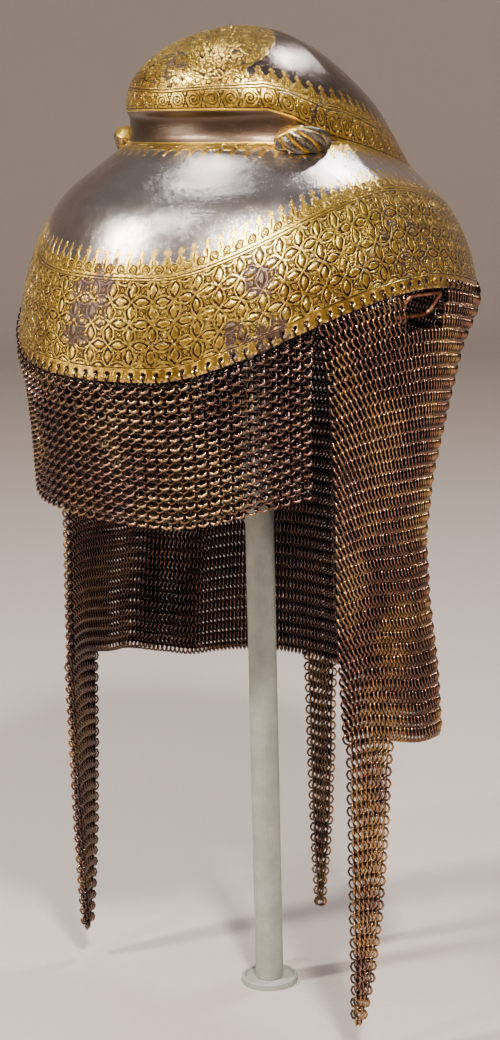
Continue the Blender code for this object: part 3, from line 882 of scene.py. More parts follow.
# %% The curtain's rings
NECK_ROW_STEP = 0.00285
NECK_RING = 0.0024
NECK_TURN = math.radians(48.0)
NECK_RECESS = 0.0008
NECK_SLANT = math.radians(13.0)
NECK_ROW_RINGS = 148
NECK_ROW_START = 0.75
ROW_SHIFT = 0.25


def evenly_along(row, count, shift):
    """Points at equal steps along a row of points, half a step in from its ends."""
    run = run_of(row)
    wanted = (np.arange(count) + 0.5 + shift) / (count + 0.5) * run[-1]
    return np.stack([np.interp(wanted, run, row[:, k]) for k in range(3)], -1)


neck_row_count = int(NECK_LENGTH / NECK_ROW_STEP)
row_shares = (np.arange(neck_row_count) + NECK_ROW_START) / neck_row_count
grid = []
for row, share in enumerate(row_shares):
    level = share * FINE_ROWS
    low = int(min(level, FINE_ROWS - 1))
    line = mixed(fine[low], fine[low + 1], level - low)
    grid.append(evenly_along(line, NECK_ROW_RINGS, ROW_SHIFT if row % 2 else -ROW_SHIFT))
grid = np.array(grid)
frames = frames_on(grid)
neck_middle = np.linspace(neck_edge, math.tau - neck_edge, NECK_ROW_RINGS)[None]
inner_row = (np.arange(neck_row_count) % 2)[:, None] + np.zeros(grid.shape[:2])
turn = (inner_row * 2 - 1) * NECK_TURN
slant = np.copysign(NECK_SLANT, np.sin(neck_middle)) * (1 - inner_row * 2)
grid -= frames[2] * (inner_row * NECK_RECESS)[..., None]
print("curtain:", neck_row_count, "rows of", NECK_ROW_RINGS, "rings")

# %% [markdown]
# Over each ear a frame of copper wire keeps the mail open. It is bent as a parallelogram with
# round corners, whose foot lies farther forward and leans inward. The wire is one round
# section carried along its path.

# %% Ear frames
FRAME_ANGLE = math.radians(92.0)
FRAME_LEAN = math.radians(25.0)
FRAME_WIDTH = 0.0262
FRAME_HEIGHT = 0.0130
FRAME_SLANT = 0.0050
FRAME_WIRE = 0.0020
FRAME_CORNER = 0.0022
FRAME_SLANT_START = 0.35
CORNER_STEPS = 7
WIRE_FACETS = 10


def ear_frame_axes(side):
    """The middle of an ear frame's top edge, its axes along, up and out, and its lowering."""
    middle = side * FRAME_ANGLE
    half = FRAME_WIDTH / 2 / RIM_SIDE_REACH
    before, after = rim_points(np.array([middle - half, middle + half]))
    x_axis = unit(after - before)
    z_axis = unit(np.cross(x_axis, (0, 0, 1)))
    y_axis = np.cross(z_axis, x_axis)
    origin = (before + after) / 2 - z_axis * SHELL_WALL / 2
    leaning = y_axis * math.cos(FRAME_LEAN) + z_axis * math.sin(FRAME_LEAN)
    z_axis = z_axis * math.cos(FRAME_LEAN) - y_axis * math.sin(FRAME_LEAN)
    arc = rim_points(np.linspace(middle - half, middle + half, 15), inward=SHELL_WALL) - origin
    top = 2 * GAP - (arc @ leaning).min()
    return origin, x_axis, leaning, z_axis, top


def frame_path(side, top):
    """The wire's middle line in the frame's plane, round its four round corners."""
    half = FRAME_WIDTH / 2 - FRAME_WIRE / 2
    high, low = -top - FRAME_WIRE / 2, -top - FRAME_HEIGHT + FRAME_WIRE / 2
    ends = ((half, high, 0), (-half, high, 90), (-half, low, 180), (half, low, 270))
    path = []
    for x, y, first in ends:
        middle_x = x - math.copysign(FRAME_CORNER, x)
        middle_y = y + (FRAME_CORNER if y == low else -FRAME_CORNER)
        corner = np.radians(np.linspace(first, first + 90, CORNER_STEPS))
        arc = np.stack([np.cos(corner), np.sin(corner)], 1) * FRAME_CORNER
        path.append(arc + (middle_x, middle_y))
    path = np.concatenate(path)
    path[:, 0] += side * FRAME_SLANT * ((path[:, 1] - high) / (high - low) + FRAME_SLANT_START)
    return path


print("left frame's top edge at", ear_frame_axes(1)[0].round(4))

# %% [markdown]
# The path is laid in the plane of the frame, and at each of its points a ring of points
# stands square to the wire.

# %% The two wire frames
ear_wires = []
for side, name in ((1, "ear_wire_left"), (-1, "ear_wire_right")):
    origin, x_axis, y_axis, z_axis, top = ear_frame_axes(side)
    path = frame_path(side, top)
    line = origin + path[:, :1] * x_axis + path[:, 1:] * y_axis
    ahead = unit(np.roll(line, -1, axis=0) - np.roll(line, 1, axis=0))
    aside = np.cross(ahead, z_axis)
    facets = turns_of(WIRE_FACETS)[:, None, None]
    section = np.cos(facets) * aside + np.sin(facets) * z_axis
    tube = (line + section * FRAME_WIRE / 2).transpose(1, 0, 2)
    wire = link(name, mesh_of(name, tube, tube_faces(len(line), WIRE_FACETS)))
    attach(wire, "root")
    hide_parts(name.replace("wire", "frame"))
    ear_wires.append(wire)
print("ear frames:", [len(wire.data.polygons) for wire in ear_wires], "faces")

# %% [markdown]
# Rings whose middles would fall inside a frame or in the slot under it are left out. The
# curtain is then cut into five panels, so that no piece grows too heavy.

# %% Ear notches and curtain panels
NOTCH_BELOW_FRAME = 0.0023
NOTCH_BESIDE_FRAME = 0.0012
PANEL_COUNT = 5

keep = np.ones(grid.shape[:2], bool)
for side in (1, -1):
    origin, x_axis, y_axis, z_axis, top = ear_frame_axes(side)
    local = grid - origin
    depth = top + FRAME_HEIGHT + NOTCH_BELOW_FRAME
    along_frame, down = local @ x_axis, -(local @ y_axis)
    slanted = along_frame + side * FRAME_SLANT * ((down - top) / FRAME_HEIGHT - FRAME_SLANT_START)
    keep &= ~(
        (np.abs(slanted) < FRAME_WIDTH / 2 + NOTCH_BESIDE_FRAME)
        & (down < depth) & (np.abs(local @ z_axis) < FRAME_WIDTH / 2)
    )
sector = np.arange(NECK_ROW_RINGS) * PANEL_COUNT // NECK_ROW_RINGS
mail_pieces = [face_mail]
for panel in range(PANEL_COUNT):
    chosen = keep & (sector == panel)[None]
    panel_name = f"neck_mail_rings_{panel + 1}"
    piece = rings_from(panel_name, chosen, grid, frames, NECK_RING, 0 * turn, turn, slant)
    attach(piece, "root")
    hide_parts("neck_mail")
    mail_pieces.append(piece)
    print("panel", panel + 1, "has", int(chosen.sum()), "rings")

# %% [markdown]
# ## The dags
# Three long points of mail hang from the curtain, and each narrows to its last few rings.
# A dag goes on from a stretch of the lowest row, which is parted into 48 for this, counted
# from its right end. Its rows lose rings as it narrows.

# %% Dags
DAG_COLUMNS = ("name", "first", "last", "tip_across", "length")
DAGS = (
    ("right", 0, 4, 0.30, 0.146),
    ("rear", 23, 25, 0.28, 0.134),
    ("near", 45, 48, 0.92, 0.136),
)
DAG_TAPER = ((0.00, 1.00), (0.10, 0.92), (0.35, 0.82), (0.62, 0.66), (0.84, 0.44), (1.00, 0.18))
EDGE_PARTS = 48
DAG_PITCH = 0.0027
DAG_ROW_START = 0.6
DAG_LOOSE = 0.04

edge_angles = rim_angles(EDGE_PARTS, neck_edge, math.tau - neck_edge)
lowest = neck_surface(edge_angles, neck_shares)[-1][::-1]
for dag in named_rows(DAG_COLUMNS, DAGS):
    top = lowest[dag["first"]:dag["last"] + 1]
    middle = mixed(top[0], top[-1], dag["tip_across"])
    row_count = int(dag["length"] / NECK_ROW_STEP)
    middles, alongs, ups, turns = [], [], [], []
    for row in range(row_count):
        down = (row + DAG_ROW_START) / row_count
        line = mixed(middle, top, read_at(DAG_TAPER, down))
        line[:, 2] = mixed(top[:, 2], line[:, 2], down) - dag["length"] * down
        count = max(2, round(float(run_of(line)[-1]) / DAG_PITCH) + row % 2)
        spots = evenly_along(line, count, -ROW_SHIFT)
        middles.append(spots)
        alongs.append(np.broadcast_to(unit(line[0] - line[-1]), spots.shape))
        ups.append(np.broadcast_to((0.0, 0.0, 1.0), spots.shape))
        turns.append(np.full(count, NECK_TURN if row % 2 else -NECK_TURN))
    middles, alongs, ups, turns = map(np.concatenate, (middles, alongs, ups, turns))
    outs = unit(np.cross(alongs, ups))
    loose = shake.normal(0, DAG_LOOSE, (2, len(middles)))
    dag_name = f"dag_rings_{dag['name']}"
    piece = link(dag_name, ring_mesh(
        dag_name, middles, alongs, unit(np.cross(outs, alongs)), outs, NECK_RING,
        loose[0], turns + loose[1],
    ))
    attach(piece, "root")
    mail_pieces.append(piece)
    print("dag", dag["name"], "has", len(middles), "rings in", row_count, "rows")

# %% [markdown]
# ## Rim loops
# A small ring through each hole carries the mail. Only its outer half shows, as a short
# bright stroke under the hole. The holes over the ear frames carry none.

# %% Rim loops
LOOP_HALF_HEIGHT = 0.0024
LOOP_HALF_DEPTH = 0.0017
LOOP_WIRE = 0.0010
LOOP_SLACK = 0.0002
LOOP_LEAN_LOOSE, LOOP_TURN_LOOSE = 0.06, 0.15
BARE_FROM, BARE_TO = 79.0, 98.0

away = np.degrees(np.abs(hole_angles))
loop_angles = hole_angles[(away < BARE_FROM) | (away > BARE_TO)]
edge_points = rim_points(loop_angles, inward=SHELL_WALL / 2)
beside = unit(rim_points(loop_angles + 0.01) - rim_points(loop_angles - 0.01))
outs = unit(np.cross(beside, np.broadcast_to((0.0, 0.0, 1.0), beside.shape)))
ups = unit(np.cross(outs, beside))
middles = edge_points + ups * (HOLE_HEIGHT - LOOP_HALF_HEIGHT + LOOP_SLACK)
count = len(loop_angles)
loops = link("rim_loops", ring_mesh(
    "rim_loops", middles, outs, ups, -beside, LOOP_HALF_DEPTH,
    shake.normal(0, LOOP_LEAN_LOOSE, count), shake.normal(0, LOOP_TURN_LOOSE, count),
    wire=LOOP_WIRE, squash=LOOP_HALF_HEIGHT / LOOP_HALF_DEPTH,
))
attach(loops, "root")
mail_pieces.append(loops)
print("rim loops:", count)

# %% [markdown]
# ## The leaf bosses
# A cast boss like half a lotus sits on the crease at each side of the front. Its petals fan
# out from a gilt hub at its forward end. It is an egg form whose grid has its pole at the
# hub, so that every petal runs along the grid, and whatever would lie inside the bowl is
# laid on the bowl instead.

# %% Bosses
BOSS_ANGLE = math.radians(65.0)
BOSS_HALF = np.array((0.0140, 0.00675, 0.0098))
BOSS_TILT = math.radians(38.0)
BOSS_PETALS = 10
BOSS_HUB = (-0.60, 0.62, 0.50)
BOSS_FLUTE = 0.26
BOSS_FLUTE_POWER = 0.8
BOSS_FLUTE_RUNUP = 0.4
BOSS_CAP = 0.55
BOSS_CAP_RAISE = 0.05
BOSS_CAP_EDGE = 0.12
BOSS_POLE = 0.0005
BOSS_ROWS = 40
BOSS_SIDES = BOSS_PETALS * 12

bowl_tree = BVHTree.FromPolygons(points.tolist(), faces.tolist())
bosses = []
for side, name in ((1, "lotus_boss_left"), (-1, "lotus_boss_right")):
    angle = np.array(side * BOSS_ANGLE)
    crease = plan_points(
        angle, CREASE_REACH, CREASE_REACH, CREASE_REAR_REACH, crease_level_at(angle),
    )
    outward = unit(crease * (1, 1, 0))
    pole = outward * math.cos(BOSS_TILT) + np.array((0, 0, 1)) * math.sin(BOSS_TILT)
    x_axis = unit(np.cross((0, 0, 1), pole))
    axes = np.array([x_axis, np.cross(pole, x_axis), pole])
    hub = unit(np.array(BOSS_HUB) * (side, 1, 1))
    first = unit(np.cross(hub, (0, 0, 1)))
    second = np.cross(hub, first)
    around = turns_of(BOSS_SIDES)
    away = np.linspace(BOSS_POLE, math.pi - BOSS_POLE, BOSS_ROWS)[:, None]
    spoke = np.cos(around)[:, None] * first + np.sin(around)[:, None] * second
    ball = np.cos(away)[..., None] * hub + np.sin(away)[..., None] * spoke
    groove = 1 - np.abs(np.sin(BOSS_PETALS * around / 2)) ** BOSS_FLUTE_POWER
    swell = 1 - BOSS_FLUTE * groove * smoothstep((away - BOSS_CAP) / BOSS_FLUTE_RUNUP)
    swell += BOSS_CAP_RAISE * (1 - smoothstep((away - BOSS_CAP) / BOSS_CAP_EDGE))
    form = (ball * BOSS_HALF * swell[..., None]) @ axes + crease
    form = form.reshape(-1, 3)
    for k, spot in enumerate(form):
        near, normal, _, _ = bowl_tree.find_nearest(Vector(spot))
        if (Vector(spot) - near).dot(normal) < GAP:
            form[k] = near + normal * GAP
    boss_mesh = mesh_of(name, form, round_faces(BOSS_ROWS, BOSS_SIDES))
    petal_map = boss_mesh.uv_layers.new(name="petal_map")
    row, turn = np.meshgrid(np.arange(BOSS_ROWS - 1), np.arange(BOSS_SIDES), indexing="ij")
    corners = [
        ((turn + over) * BOSS_PETALS / BOSS_SIDES, (row + on) * math.pi / (BOSS_ROWS - 1))
        for over, on in ((0, 0), (0, 1), (1, 1), (1, 0))
    ]
    pairs = np.array(corners).transpose(2, 3, 0, 1).astype(np.float32)
    petal_map.data.foreach_set("uv", pairs.ravel())
    boss = link(name, boss_mesh)
    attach(boss, "root")
    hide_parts(name.replace("lotus_boss", "leaf_boss"))
    bosses.append(boss)
print("bosses:", [len(boss.data.polygons) for boss in bosses], "faces")

# %% [markdown]
# ## Fields
# Engraving, gilding and wear are all numbers that vary over the surface. A small class makes
# Blender's Math nodes read like ordinary arithmetic, so that each pattern below can be
# written as a formula, in millimetres, and still be a plain node tree.

# %% A field class for shader arithmetic
class Field:
    """A number that varies over a surface. Arithmetic on it adds Math nodes to its tree."""

    def __init__(self, tree, socket):
        self.tree = tree
        self.socket = socket

    def calc(self, operation, *others):
        node = self.tree.nodes.new("ShaderNodeMath")
        node.operation = operation
        for place, value in zip(node.inputs, (self,) + others):
            if isinstance(value, Field):
                self.tree.links.new(value.socket, place)
            else:
                place.default_value = value
        return Field(self.tree, node.outputs[0])

    def __add__(self, other):
        return self.calc("ADD", other)

    def __sub__(self, other):
        return self.calc("SUBTRACT", other)

    def __mul__(self, other):
        return self.calc("MULTIPLY", other)

    def __rsub__(self, other):
        return self.calc("MULTIPLY_ADD", -1.0, other)

    def __abs__(self):
        return self.calc("ABSOLUTE")

    __radd__ = __add__
    __rmul__ = __mul__

    def least(self, *others):
        """The smallest of this and the others."""
        made = self
        for other in others:
            made = made.calc("MINIMUM", other)
        return made

    def most(self, *others):
        """The largest of this and the others."""
        made = self
        for other in others:
            made = made.calc("MAXIMUM", other)
        return made

    def swing(self, reach):
        """A field from 0 to 1 as one that swings round 0, with this reach in all."""
        return (self - 0.5) * reach

    def cell(self, width):
        """How far this is from the middle of its cell, for cells of this width."""
        return self.calc("WRAP", width / 2, -width / 2)

    def rise(self, low, high):
        """0 up to low, 1 from high on, and smooth between them. It falls if low > high."""
        node = self.tree.nodes.new("ShaderNodeMapRange")
        node.interpolation_type = "SMOOTHSTEP"
        self.tree.links.new(self.socket, node.inputs["Value"])
        node.inputs["From Min"].default_value = low
        node.inputs["From Max"].default_value = high
        return Field(self.tree, node.outputs[0])

    def line(self, middle, width):
        """1 on a line where this equals the middle, 0 from the width away on."""
        return abs(self - middle).rise(width, width * 0.35)

    def within(self, low, high, soft=0.15):
        return self.rise(low - soft, low + soft) * self.rise(high + soft, high - soft)


# %% [markdown]
# The patterns read their place from the surface: in millimetres from the origin, or from one
# of the UV maps. Noise and cells give what no formula should draw evenly. Colours are
# blended by a field, and one field of heights becomes a bump.

# %% Helpers for patterns and colours
def distance(first, *others):
    """How far a point is from the place where all these fields are 0."""
    total = first * first
    for other in others:
        total = total + other * other
    return total.calc("SQRT")


def new_material(name):
    made = bpy.data.materials.new(name)
    made.use_nodes = True
    return made, made.node_tree, made.node_tree.nodes["Principled BSDF"]


def place_in_mm(tree):
    """The fields x, y and z of a point of the piece, in millimetres, and their vector."""
    spot = tree.nodes.new("ShaderNodeTexCoord")
    scaled = tree.nodes.new("ShaderNodeVectorMath")
    scaled.operation = "SCALE"
    scaled.inputs["Scale"].default_value = 1000.0
    tree.links.new(spot.outputs["Object"], scaled.inputs[0])
    parts = tree.nodes.new("ShaderNodeSeparateXYZ")
    tree.links.new(scaled.outputs[0], parts.inputs[0])
    return [Field(tree, parts.outputs[k]) for k in range(3)], scaled.outputs[0]


def map_fields(tree, name):
    """The two fields of a UV map as they are."""
    chosen = tree.nodes.new("ShaderNodeUVMap")
    chosen.uv_map = name
    parts = tree.nodes.new("ShaderNodeSeparateXYZ")
    tree.links.new(chosen.outputs[0], parts.inputs[0])
    return Field(tree, parts.outputs[0]), Field(tree, parts.outputs[1])


def map_in_mm(tree, name):
    """The two fields of a UV map in metres, in millimetres."""
    return [field * 1000.0 for field in map_fields(tree, name)]


def noise(tree, vector, grain, detail=3.0, rough=0.55):
    """Soft random cloud between 0 and 1 whose lumps are `grain` millimetres across."""
    node = tree.nodes.new("ShaderNodeTexNoise")
    node.inputs["Scale"].default_value = 1.0 / grain
    node.inputs["Detail"].default_value = detail
    node.inputs["Roughness"].default_value = rough
    tree.links.new(vector, node.inputs["Vector"])
    return Field(tree, node.outputs["Fac"])


def cells(tree, vector, grain, feature):
    """A field over irregular cells `grain` millimetres wide, in shares of a cell."""
    node = tree.nodes.new("ShaderNodeTexVoronoi")
    node.feature = feature
    node.inputs["Scale"].default_value = 1.0 / grain
    node.inputs["Randomness"].default_value = 0.75
    tree.links.new(vector, node.inputs["Vector"])
    return Field(tree, node.outputs["Distance"])


def blend_colors(tree, share, first, second):
    """A colour socket that goes from the first colour to the second by a field."""
    node = tree.nodes.new("ShaderNodeMix")
    node.data_type = "RGBA"
    tree.links.new(share.socket, node.inputs["Factor"])
    for place, value in ((node.inputs["A"], first), (node.inputs["B"], second)):
        if isinstance(value, tuple):
            place.default_value = (*value, 1.0)
        else:
            tree.links.new(value, place)
    return node.outputs["Result"]


def raised(tree, shader, height, depth):
    """Bump from a height field whose 1 stands `depth` metres proud."""
    node = tree.nodes.new("ShaderNodeBump")
    node.inputs["Strength"].default_value = 1.0
    node.inputs["Distance"].default_value = depth
    tree.links.new(height.socket, node.inputs["Height"])
    tree.links.new(node.outputs[0], shader.inputs["Normal"])


# %% [markdown]
# ## Gilding and engraving on the bowl
# The bowl is iron. Gold is laid on it by heat in bands, and the pattern is cut through the
# gold, so the cuts show dark. From the rim up there are a plain strip with the ring holes, a
# lattice of almond petals, a double line, and a cresting of small leaves. A lace edge runs
# round the crease, and the bun carries a scroll band, its own cresting and a dense diaper
# over its front. A cutter's hand is never quite even, so all the lines waver a little.

# %% Pattern sizes in millimetres
RUN, CREASE_RUN, BUN_RUN = (
    round_length[name] * 1000 for name in ("rim_map", "crease_map", "bun_map")
)
LATTICE_CELLS, CREST_LEAVES, LACE_LOBES, BUN_SCROLLS, BUN_LEAVES = 67, 104, 72, 50, 62
LATTICE_PITCH = RUN / LATTICE_CELLS
LATTICE_RISE = 9.33
LATTICE_FOOT = 6.2
BAND_TOP = BAND_LEVEL * 1000
CREST_PITCH = RUN / CREST_LEAVES
CREST_TALL = 12.8
LACE_PITCH = CREASE_RUN / LACE_LOBES
SCROLL_PITCH = BUN_RUN / BUN_SCROLLS
BUN_CREST_PITCH = BUN_RUN / BUN_LEAVES
BUN_CREST_TALL = 9.5
DIAPER_GRAIN = 2.9
CUT = 0.42

metal_finish, tree, shader = new_material("gilt_and_engraved_iron")
(px, py, pz), spot = place_in_mm(tree)
run, up_rim = map_in_mm(tree, "rim_map")
crease_run, from_crease_mm = map_in_mm(tree, "crease_map")
bun_run, on_bun = map_in_mm(tree, "bun_map")
sway = noise(tree, spot, 14.0, 1.0).swing(2.4)
waver = noise(tree, spot, 2.6, 2.0).swing(1.7)
shiver = noise(tree, spot, 1.9, 2.0).swing(1.5)
run = run + sway + waver
line_height = up_rim + noise(tree, spot, 17.0, 1.0).swing(0.6)
up_rim = line_height + shiver
crease_run = crease_run + waver * 0.35
bun_run = bun_run + waver * 0.5
print("pitches: lattice", round(LATTICE_PITCH, 2), "crest", round(CREST_PITCH, 2),
      "lace", round(LACE_PITCH, 2), "scroll", round(SCROLL_PITCH, 2))

# %% [markdown]
# The wide band is a net of pointed petals. Each cell has four, on its sides, round a small
# rosette with a cross. A narrow strap swings round the petals. All of it is mirrored in both
# directions, so the formulas need to draw only a quarter of a cell, ten units wide here.

# %% The petal lattice of the wide band
HALF_CELL = 5.0
PETAL_HALF = 1.75
PETAL_TAPER = 0.175
STRAP_SWING = 2.75
STRAP_HALF = 0.66
CROSS_HALF = 1.15
ROSETTE = 1.1
ROSETTE_ROOM = (1.3, 1.7)
BAND_MARGINS = (0.4, 1.1)

across = abs((run * (2 * HALF_CELL / LATTICE_PITCH)).cell(2 * HALF_CELL))
above_foot = up_rim - (LATTICE_FOOT + LATTICE_RISE / 2)
rising = abs((above_foot * (2 * HALF_CELL / LATTICE_RISE)).cell(2 * HALF_CELL))
from_side, from_top = HALF_CELL - across, HALF_CELL - rising


def petal_between(offside, along):
    """How far a point is outside a pointed petal that lies along a line between crossings."""
    return offside - (PETAL_HALF - along * along * PETAL_TAPER)


def wave_between(offside, along):
    """How far a point is from the middle of a strap that swings round the petals."""
    return abs(offside - (along * (math.pi / 2 / HALF_CELL)).calc("COSINE") * STRAP_SWING)


petal = petal_between(from_side, rising).least(petal_between(from_top, across))
strap = wave_between(from_side, rising).least(wave_between(from_top, across))
to_middle = distance(across, rising)
off_cross = abs(across - rising)
open_ground = petal.rise(0.25, 0.5) * strap.rise(0.55, 0.75)
petal_cut = petal.line(0.18, CUT * 1.8)
strap_cut = strap.line(STRAP_HALF, CUT) * petal.rise(0.1, 0.3)
cross_cut = [
    off_cross.line(middle, CUT) * open_ground * to_middle.rise(*ROSETTE_ROOM)
    for middle in (CROSS_HALF, 0.0)
]
rosette_cut = to_middle.line(ROSETTE, CUT)
in_lattice = up_rim.within(LATTICE_FOOT + BAND_MARGINS[0], BAND_TOP - BAND_MARGINS[1])
lattice_cut = petal_cut.most(strap_cut, *cross_cut, rosette_cut, to_middle.rise(0.42, 0.2))
lattice_cut = lattice_cut * in_lattice
print("lattice cells round the rim:", LATTICE_CELLS)

# %% [markdown]
# A double line closes the band. Over it stands a row of spear leaves with a scroll at each
# foot. One leaf is put together from a few simple forms: a spear, a shoulder, a scroll, a
# neck with arms and a bud. Each gives how far a point is outside it, and the least of them
# is the outline. The bun has the same leaves, smaller, so they are one function.

# %% Lines and leaves
LINE_HALF_GAP = 0.65
LEAF_WIDE, LEAF_TALL = 6.2, 12.6


def double_line(field, middle):
    low, high = middle - LINE_HALF_GAP, middle + LINE_HALF_GAP
    return field.line(low, CUT).most(field.line(high, CUT))


def leaves(run, above, pitch, tall):
    """A row of spear leaves with scrolls at their feet: the leaves, and the cuts in them.
    The leaf is drawn LEAF_WIDE by LEAF_TALL units large, whatever its pitch and height."""
    x = abs(run.cell(pitch)) * (LEAF_WIDE / pitch)
    y = above * (LEAF_TALL / tall)
    spear = x - (2.05 - abs(y - 5.0) * 0.34)
    shoulder = distance(x - 1.35, y - 6.7) - 0.62
    scroll = distance(x - 3.1, y - 3.2)
    neck = (x - 0.45).most(y - 11.4)
    arms = (abs(y - 10.2) - 0.55).most(x - 1.5)
    bud = distance(x, y - 11.7) - 0.75
    foot = y - 1.6
    outside = (scroll - 2.35).least(spear, shoulder, neck, arms, bud, foot)
    shape = outside.rise(0.15, -0.15) * above.rise(-0.1, 0.1)
    vein = x.rise(0.36, 0.14) * y.within(3.2, 7.8)
    curls = (scroll.line(1.75, 0.5) * y.rise(1.2, 1.6)).most(scroll.line(0.75, 0.36))
    cuts = vein.most(curls, (y - abs(x - 1.4) * 0.5).line(0.9, 0.3))
    return shape, cuts * shape


on_leaf, leaf_cut = leaves(run, up_rim - (BAND_TOP + 1.1), CREST_PITCH, CREST_TALL)
line_cut = double_line(line_height, BAND_TOP).most(line_height.line(LATTICE_FOOT, CUT))
band_gold = line_height.rise(BAND_TOP + 1.25, BAND_TOP + 1.05)
print("leaves round the band:", CREST_LEAVES)

# %% [markdown]
# Under the crease hangs a gilt lace edge: pointed lobes with a round one at each side and
# one at the tip, and a small hole in each. The crease itself is gilt with one line cut in it.

# %% The lace edge below the crease
lace_x = abs(crease_run.cell(LACE_PITCH)) * (7.0 / LACE_PITCH)
below = 0.0 - from_crease_mm
lace_y = (below - 0.9) * 0.72
side_lobe = distance(lace_x - 2.6, lace_y - 1.6) - 1.0
tip_lobe = distance(lace_x, lace_y - 4.9) - 1.0
lace = (lace_x - (3.3 - lace_y * 0.62)).least(side_lobe, tip_lobe)
lace_hole = distance(lace_x, (lace_y - 2.0) * 0.7) - 0.8
on_lace = lace.rise(0.15, -0.15) * lace_hole.rise(-0.1, 0.15) * below.within(0.8, 9.6)
crease_gold = below.within(-1.1, 1.0).most(on_lace)
crease_cut = below.line(0.9, 0.25)
print("lace lobes round the crease:", LACE_LOBES)

# %% [markdown]
# The bun's lower edge has a band of spiral scrolls between lines, then its own leaves. Its
# front is gilt all over, with a pattern too fine to be read from the photograph. Irregular
# cells with seeds in them are drawn there instead, about as dense.

# %% The bun's scroll band, cresting and diaper
COIL_PITCH = 1.5

scroll_x = bun_run.cell(SCROLL_PITCH) * (8.6 / SCROLL_PITCH)
scroll_y = on_bun - 5.3
curl = distance(scroll_x, scroll_y)
winding = scroll_y.calc("ARCTAN2", scroll_x) * (COIL_PITCH / math.tau)
coil_cut = abs((curl - winding).cell(COIL_PITCH)).rise(CUT, CUT * 0.3) * curl.rise(3.35, 3.1)
stalk = abs(abs(scroll_x) + abs(scroll_y) * 0.4 - 4.35)
knot = distance(abs(scroll_x) - 4.3, abs(scroll_y) - 2.9)
scroll_cut = coil_cut.most(stalk.rise(CUT, CUT * 0.3), knot.line(0.95, CUT))
scroll_cut = scroll_cut * on_bun.within(1.7, 8.8)
bun_cut = scroll_cut.most(on_bun.line(1.3, CUT), double_line(on_bun, 10.0))
above_bun = on_bun - 11.1
bun_leaf, bun_leaf_cut = leaves(bun_run, above_bun, BUN_CREST_PITCH, BUN_CREST_TALL)

front_edge = ((pz - 454.0) * 2.15 - 37.0).most(-41.0)
front_edge = front_edge + noise(tree, spot, 3.0, 1.0).swing(4.0)
on_front = (py - front_edge).rise(0.6, -0.6) * above_bun.rise(0.2, 0.6)
arabesque = cells(tree, spot, DIAPER_GRAIN, "DISTANCE_TO_EDGE")
seeds = cells(tree, spot, DIAPER_GRAIN, "F1")
diaper_cut = arabesque.rise(0.10, 0.045).most(seeds.line(0.25, 0.09))
bun_gold = on_bun.within(0.0, 11.2).most(bun_leaf, on_front)
bun_cut = bun_cut.most(bun_leaf_cut * (1.0 - on_front), diaper_cut * on_front)
print("scrolls and leaves round the bun:", BUN_SCROLLS, BUN_LEAVES)

# %% [markdown]
# Gold wears through where hands and cloths have rubbed it. A few worn places are set where
# the real helmet has lost its gold, and their edges are broken up with cloudy noise, so that
# islands of gold stay in them. All over, fine specks are lost, most along the rim's edge.

# %% Wear
WORN_COLUMNS = ("x", "y", "z", "reach", "loss")
WORN_PLACES = (
    (5.9, -114.9, 355.2, 13.5, 0.54),
    (1.9, -117.6, 344.4, 12.5, 0.50),
    (11.5, -111.5, 363.0, 8.5, 0.50),
    (15.0, -107.5, 372.0, 3.6, 0.55),
    (72.0, -75.0, 362.3, 9.0, 0.52),
    (77.0, -76.0, 342.0, 10.0, 0.52),
    (67.5, -87.5, 340.0, 8.0, 0.48),
    (95.5, -5.7, 372.0, 26.0, 0.30),
    (55.5, -14.0, 430.0, 13.0, 0.26),
    (-2.0, -54.0, 455.0, 14.0, 0.36),
    (-60.0, 60.0, 372.0, 30.0, 0.28),
    (20.0, 88.0, 380.0, 30.0, 0.28),
    (-90.0, -40.0, 350.0, 16.0, 0.40),
)
WORN_TALLER = 0.8
WORN_END, WORN_FULL = 1.35, 0.3

losses = []
for worn in named_rows(WORN_COLUMNS, WORN_PLACES):
    away = distance(px - worn["x"], py - worn["y"], (pz - worn["z"]) * WORN_TALLER)
    reach = worn["reach"]
    losses.append(away.rise(reach * WORN_END, reach * WORN_FULL) * worn["loss"])
loss = losses[0].most(*losses[1:])
print("worn places:", len(losses))

# %% [markdown]
# Now the parts are put together: all the cuts, the places that were ever gilt, and how much
# of their gold is kept. The cuts are shallower in places, as a hand leaves them.

# %% All cuts, and the gold that is left
cloud = noise(tree, spot, 7.0, 6.0, 0.68)
speck = noise(tree, spot, 1.3, 3.0, 0.6)
fine = noise(tree, spot, 0.55, 2.0, 0.6)
above_crease = from_crease_mm.rise(0.3, 0.9)
cut_all = lattice_cut.most(line_cut, leaf_cut, crease_cut * crease_gold)
cut_all = cut_all * (1.0 - above_crease) + bun_cut * above_crease
cut_all = cut_all * (0.6 + noise(tree, spot, 2.1, 2.0).rise(0.32, 0.50) * 0.4)
bowl_gold = band_gold.most(on_leaf) * (1.0 - above_crease)
gold = bowl_gold.most(crease_gold, bun_gold * above_crease)
kept = 1.0 - (loss + cloud.swing(2.0) + speck.swing(1.1)).rise(0.34, 0.42)
kept = kept * (1.0 - (up_rim.rise(2.6, 0.4) * speck.rise(0.44, 0.58)))
gold_left = gold * kept
print("nodes so far:", len(tree.nodes))
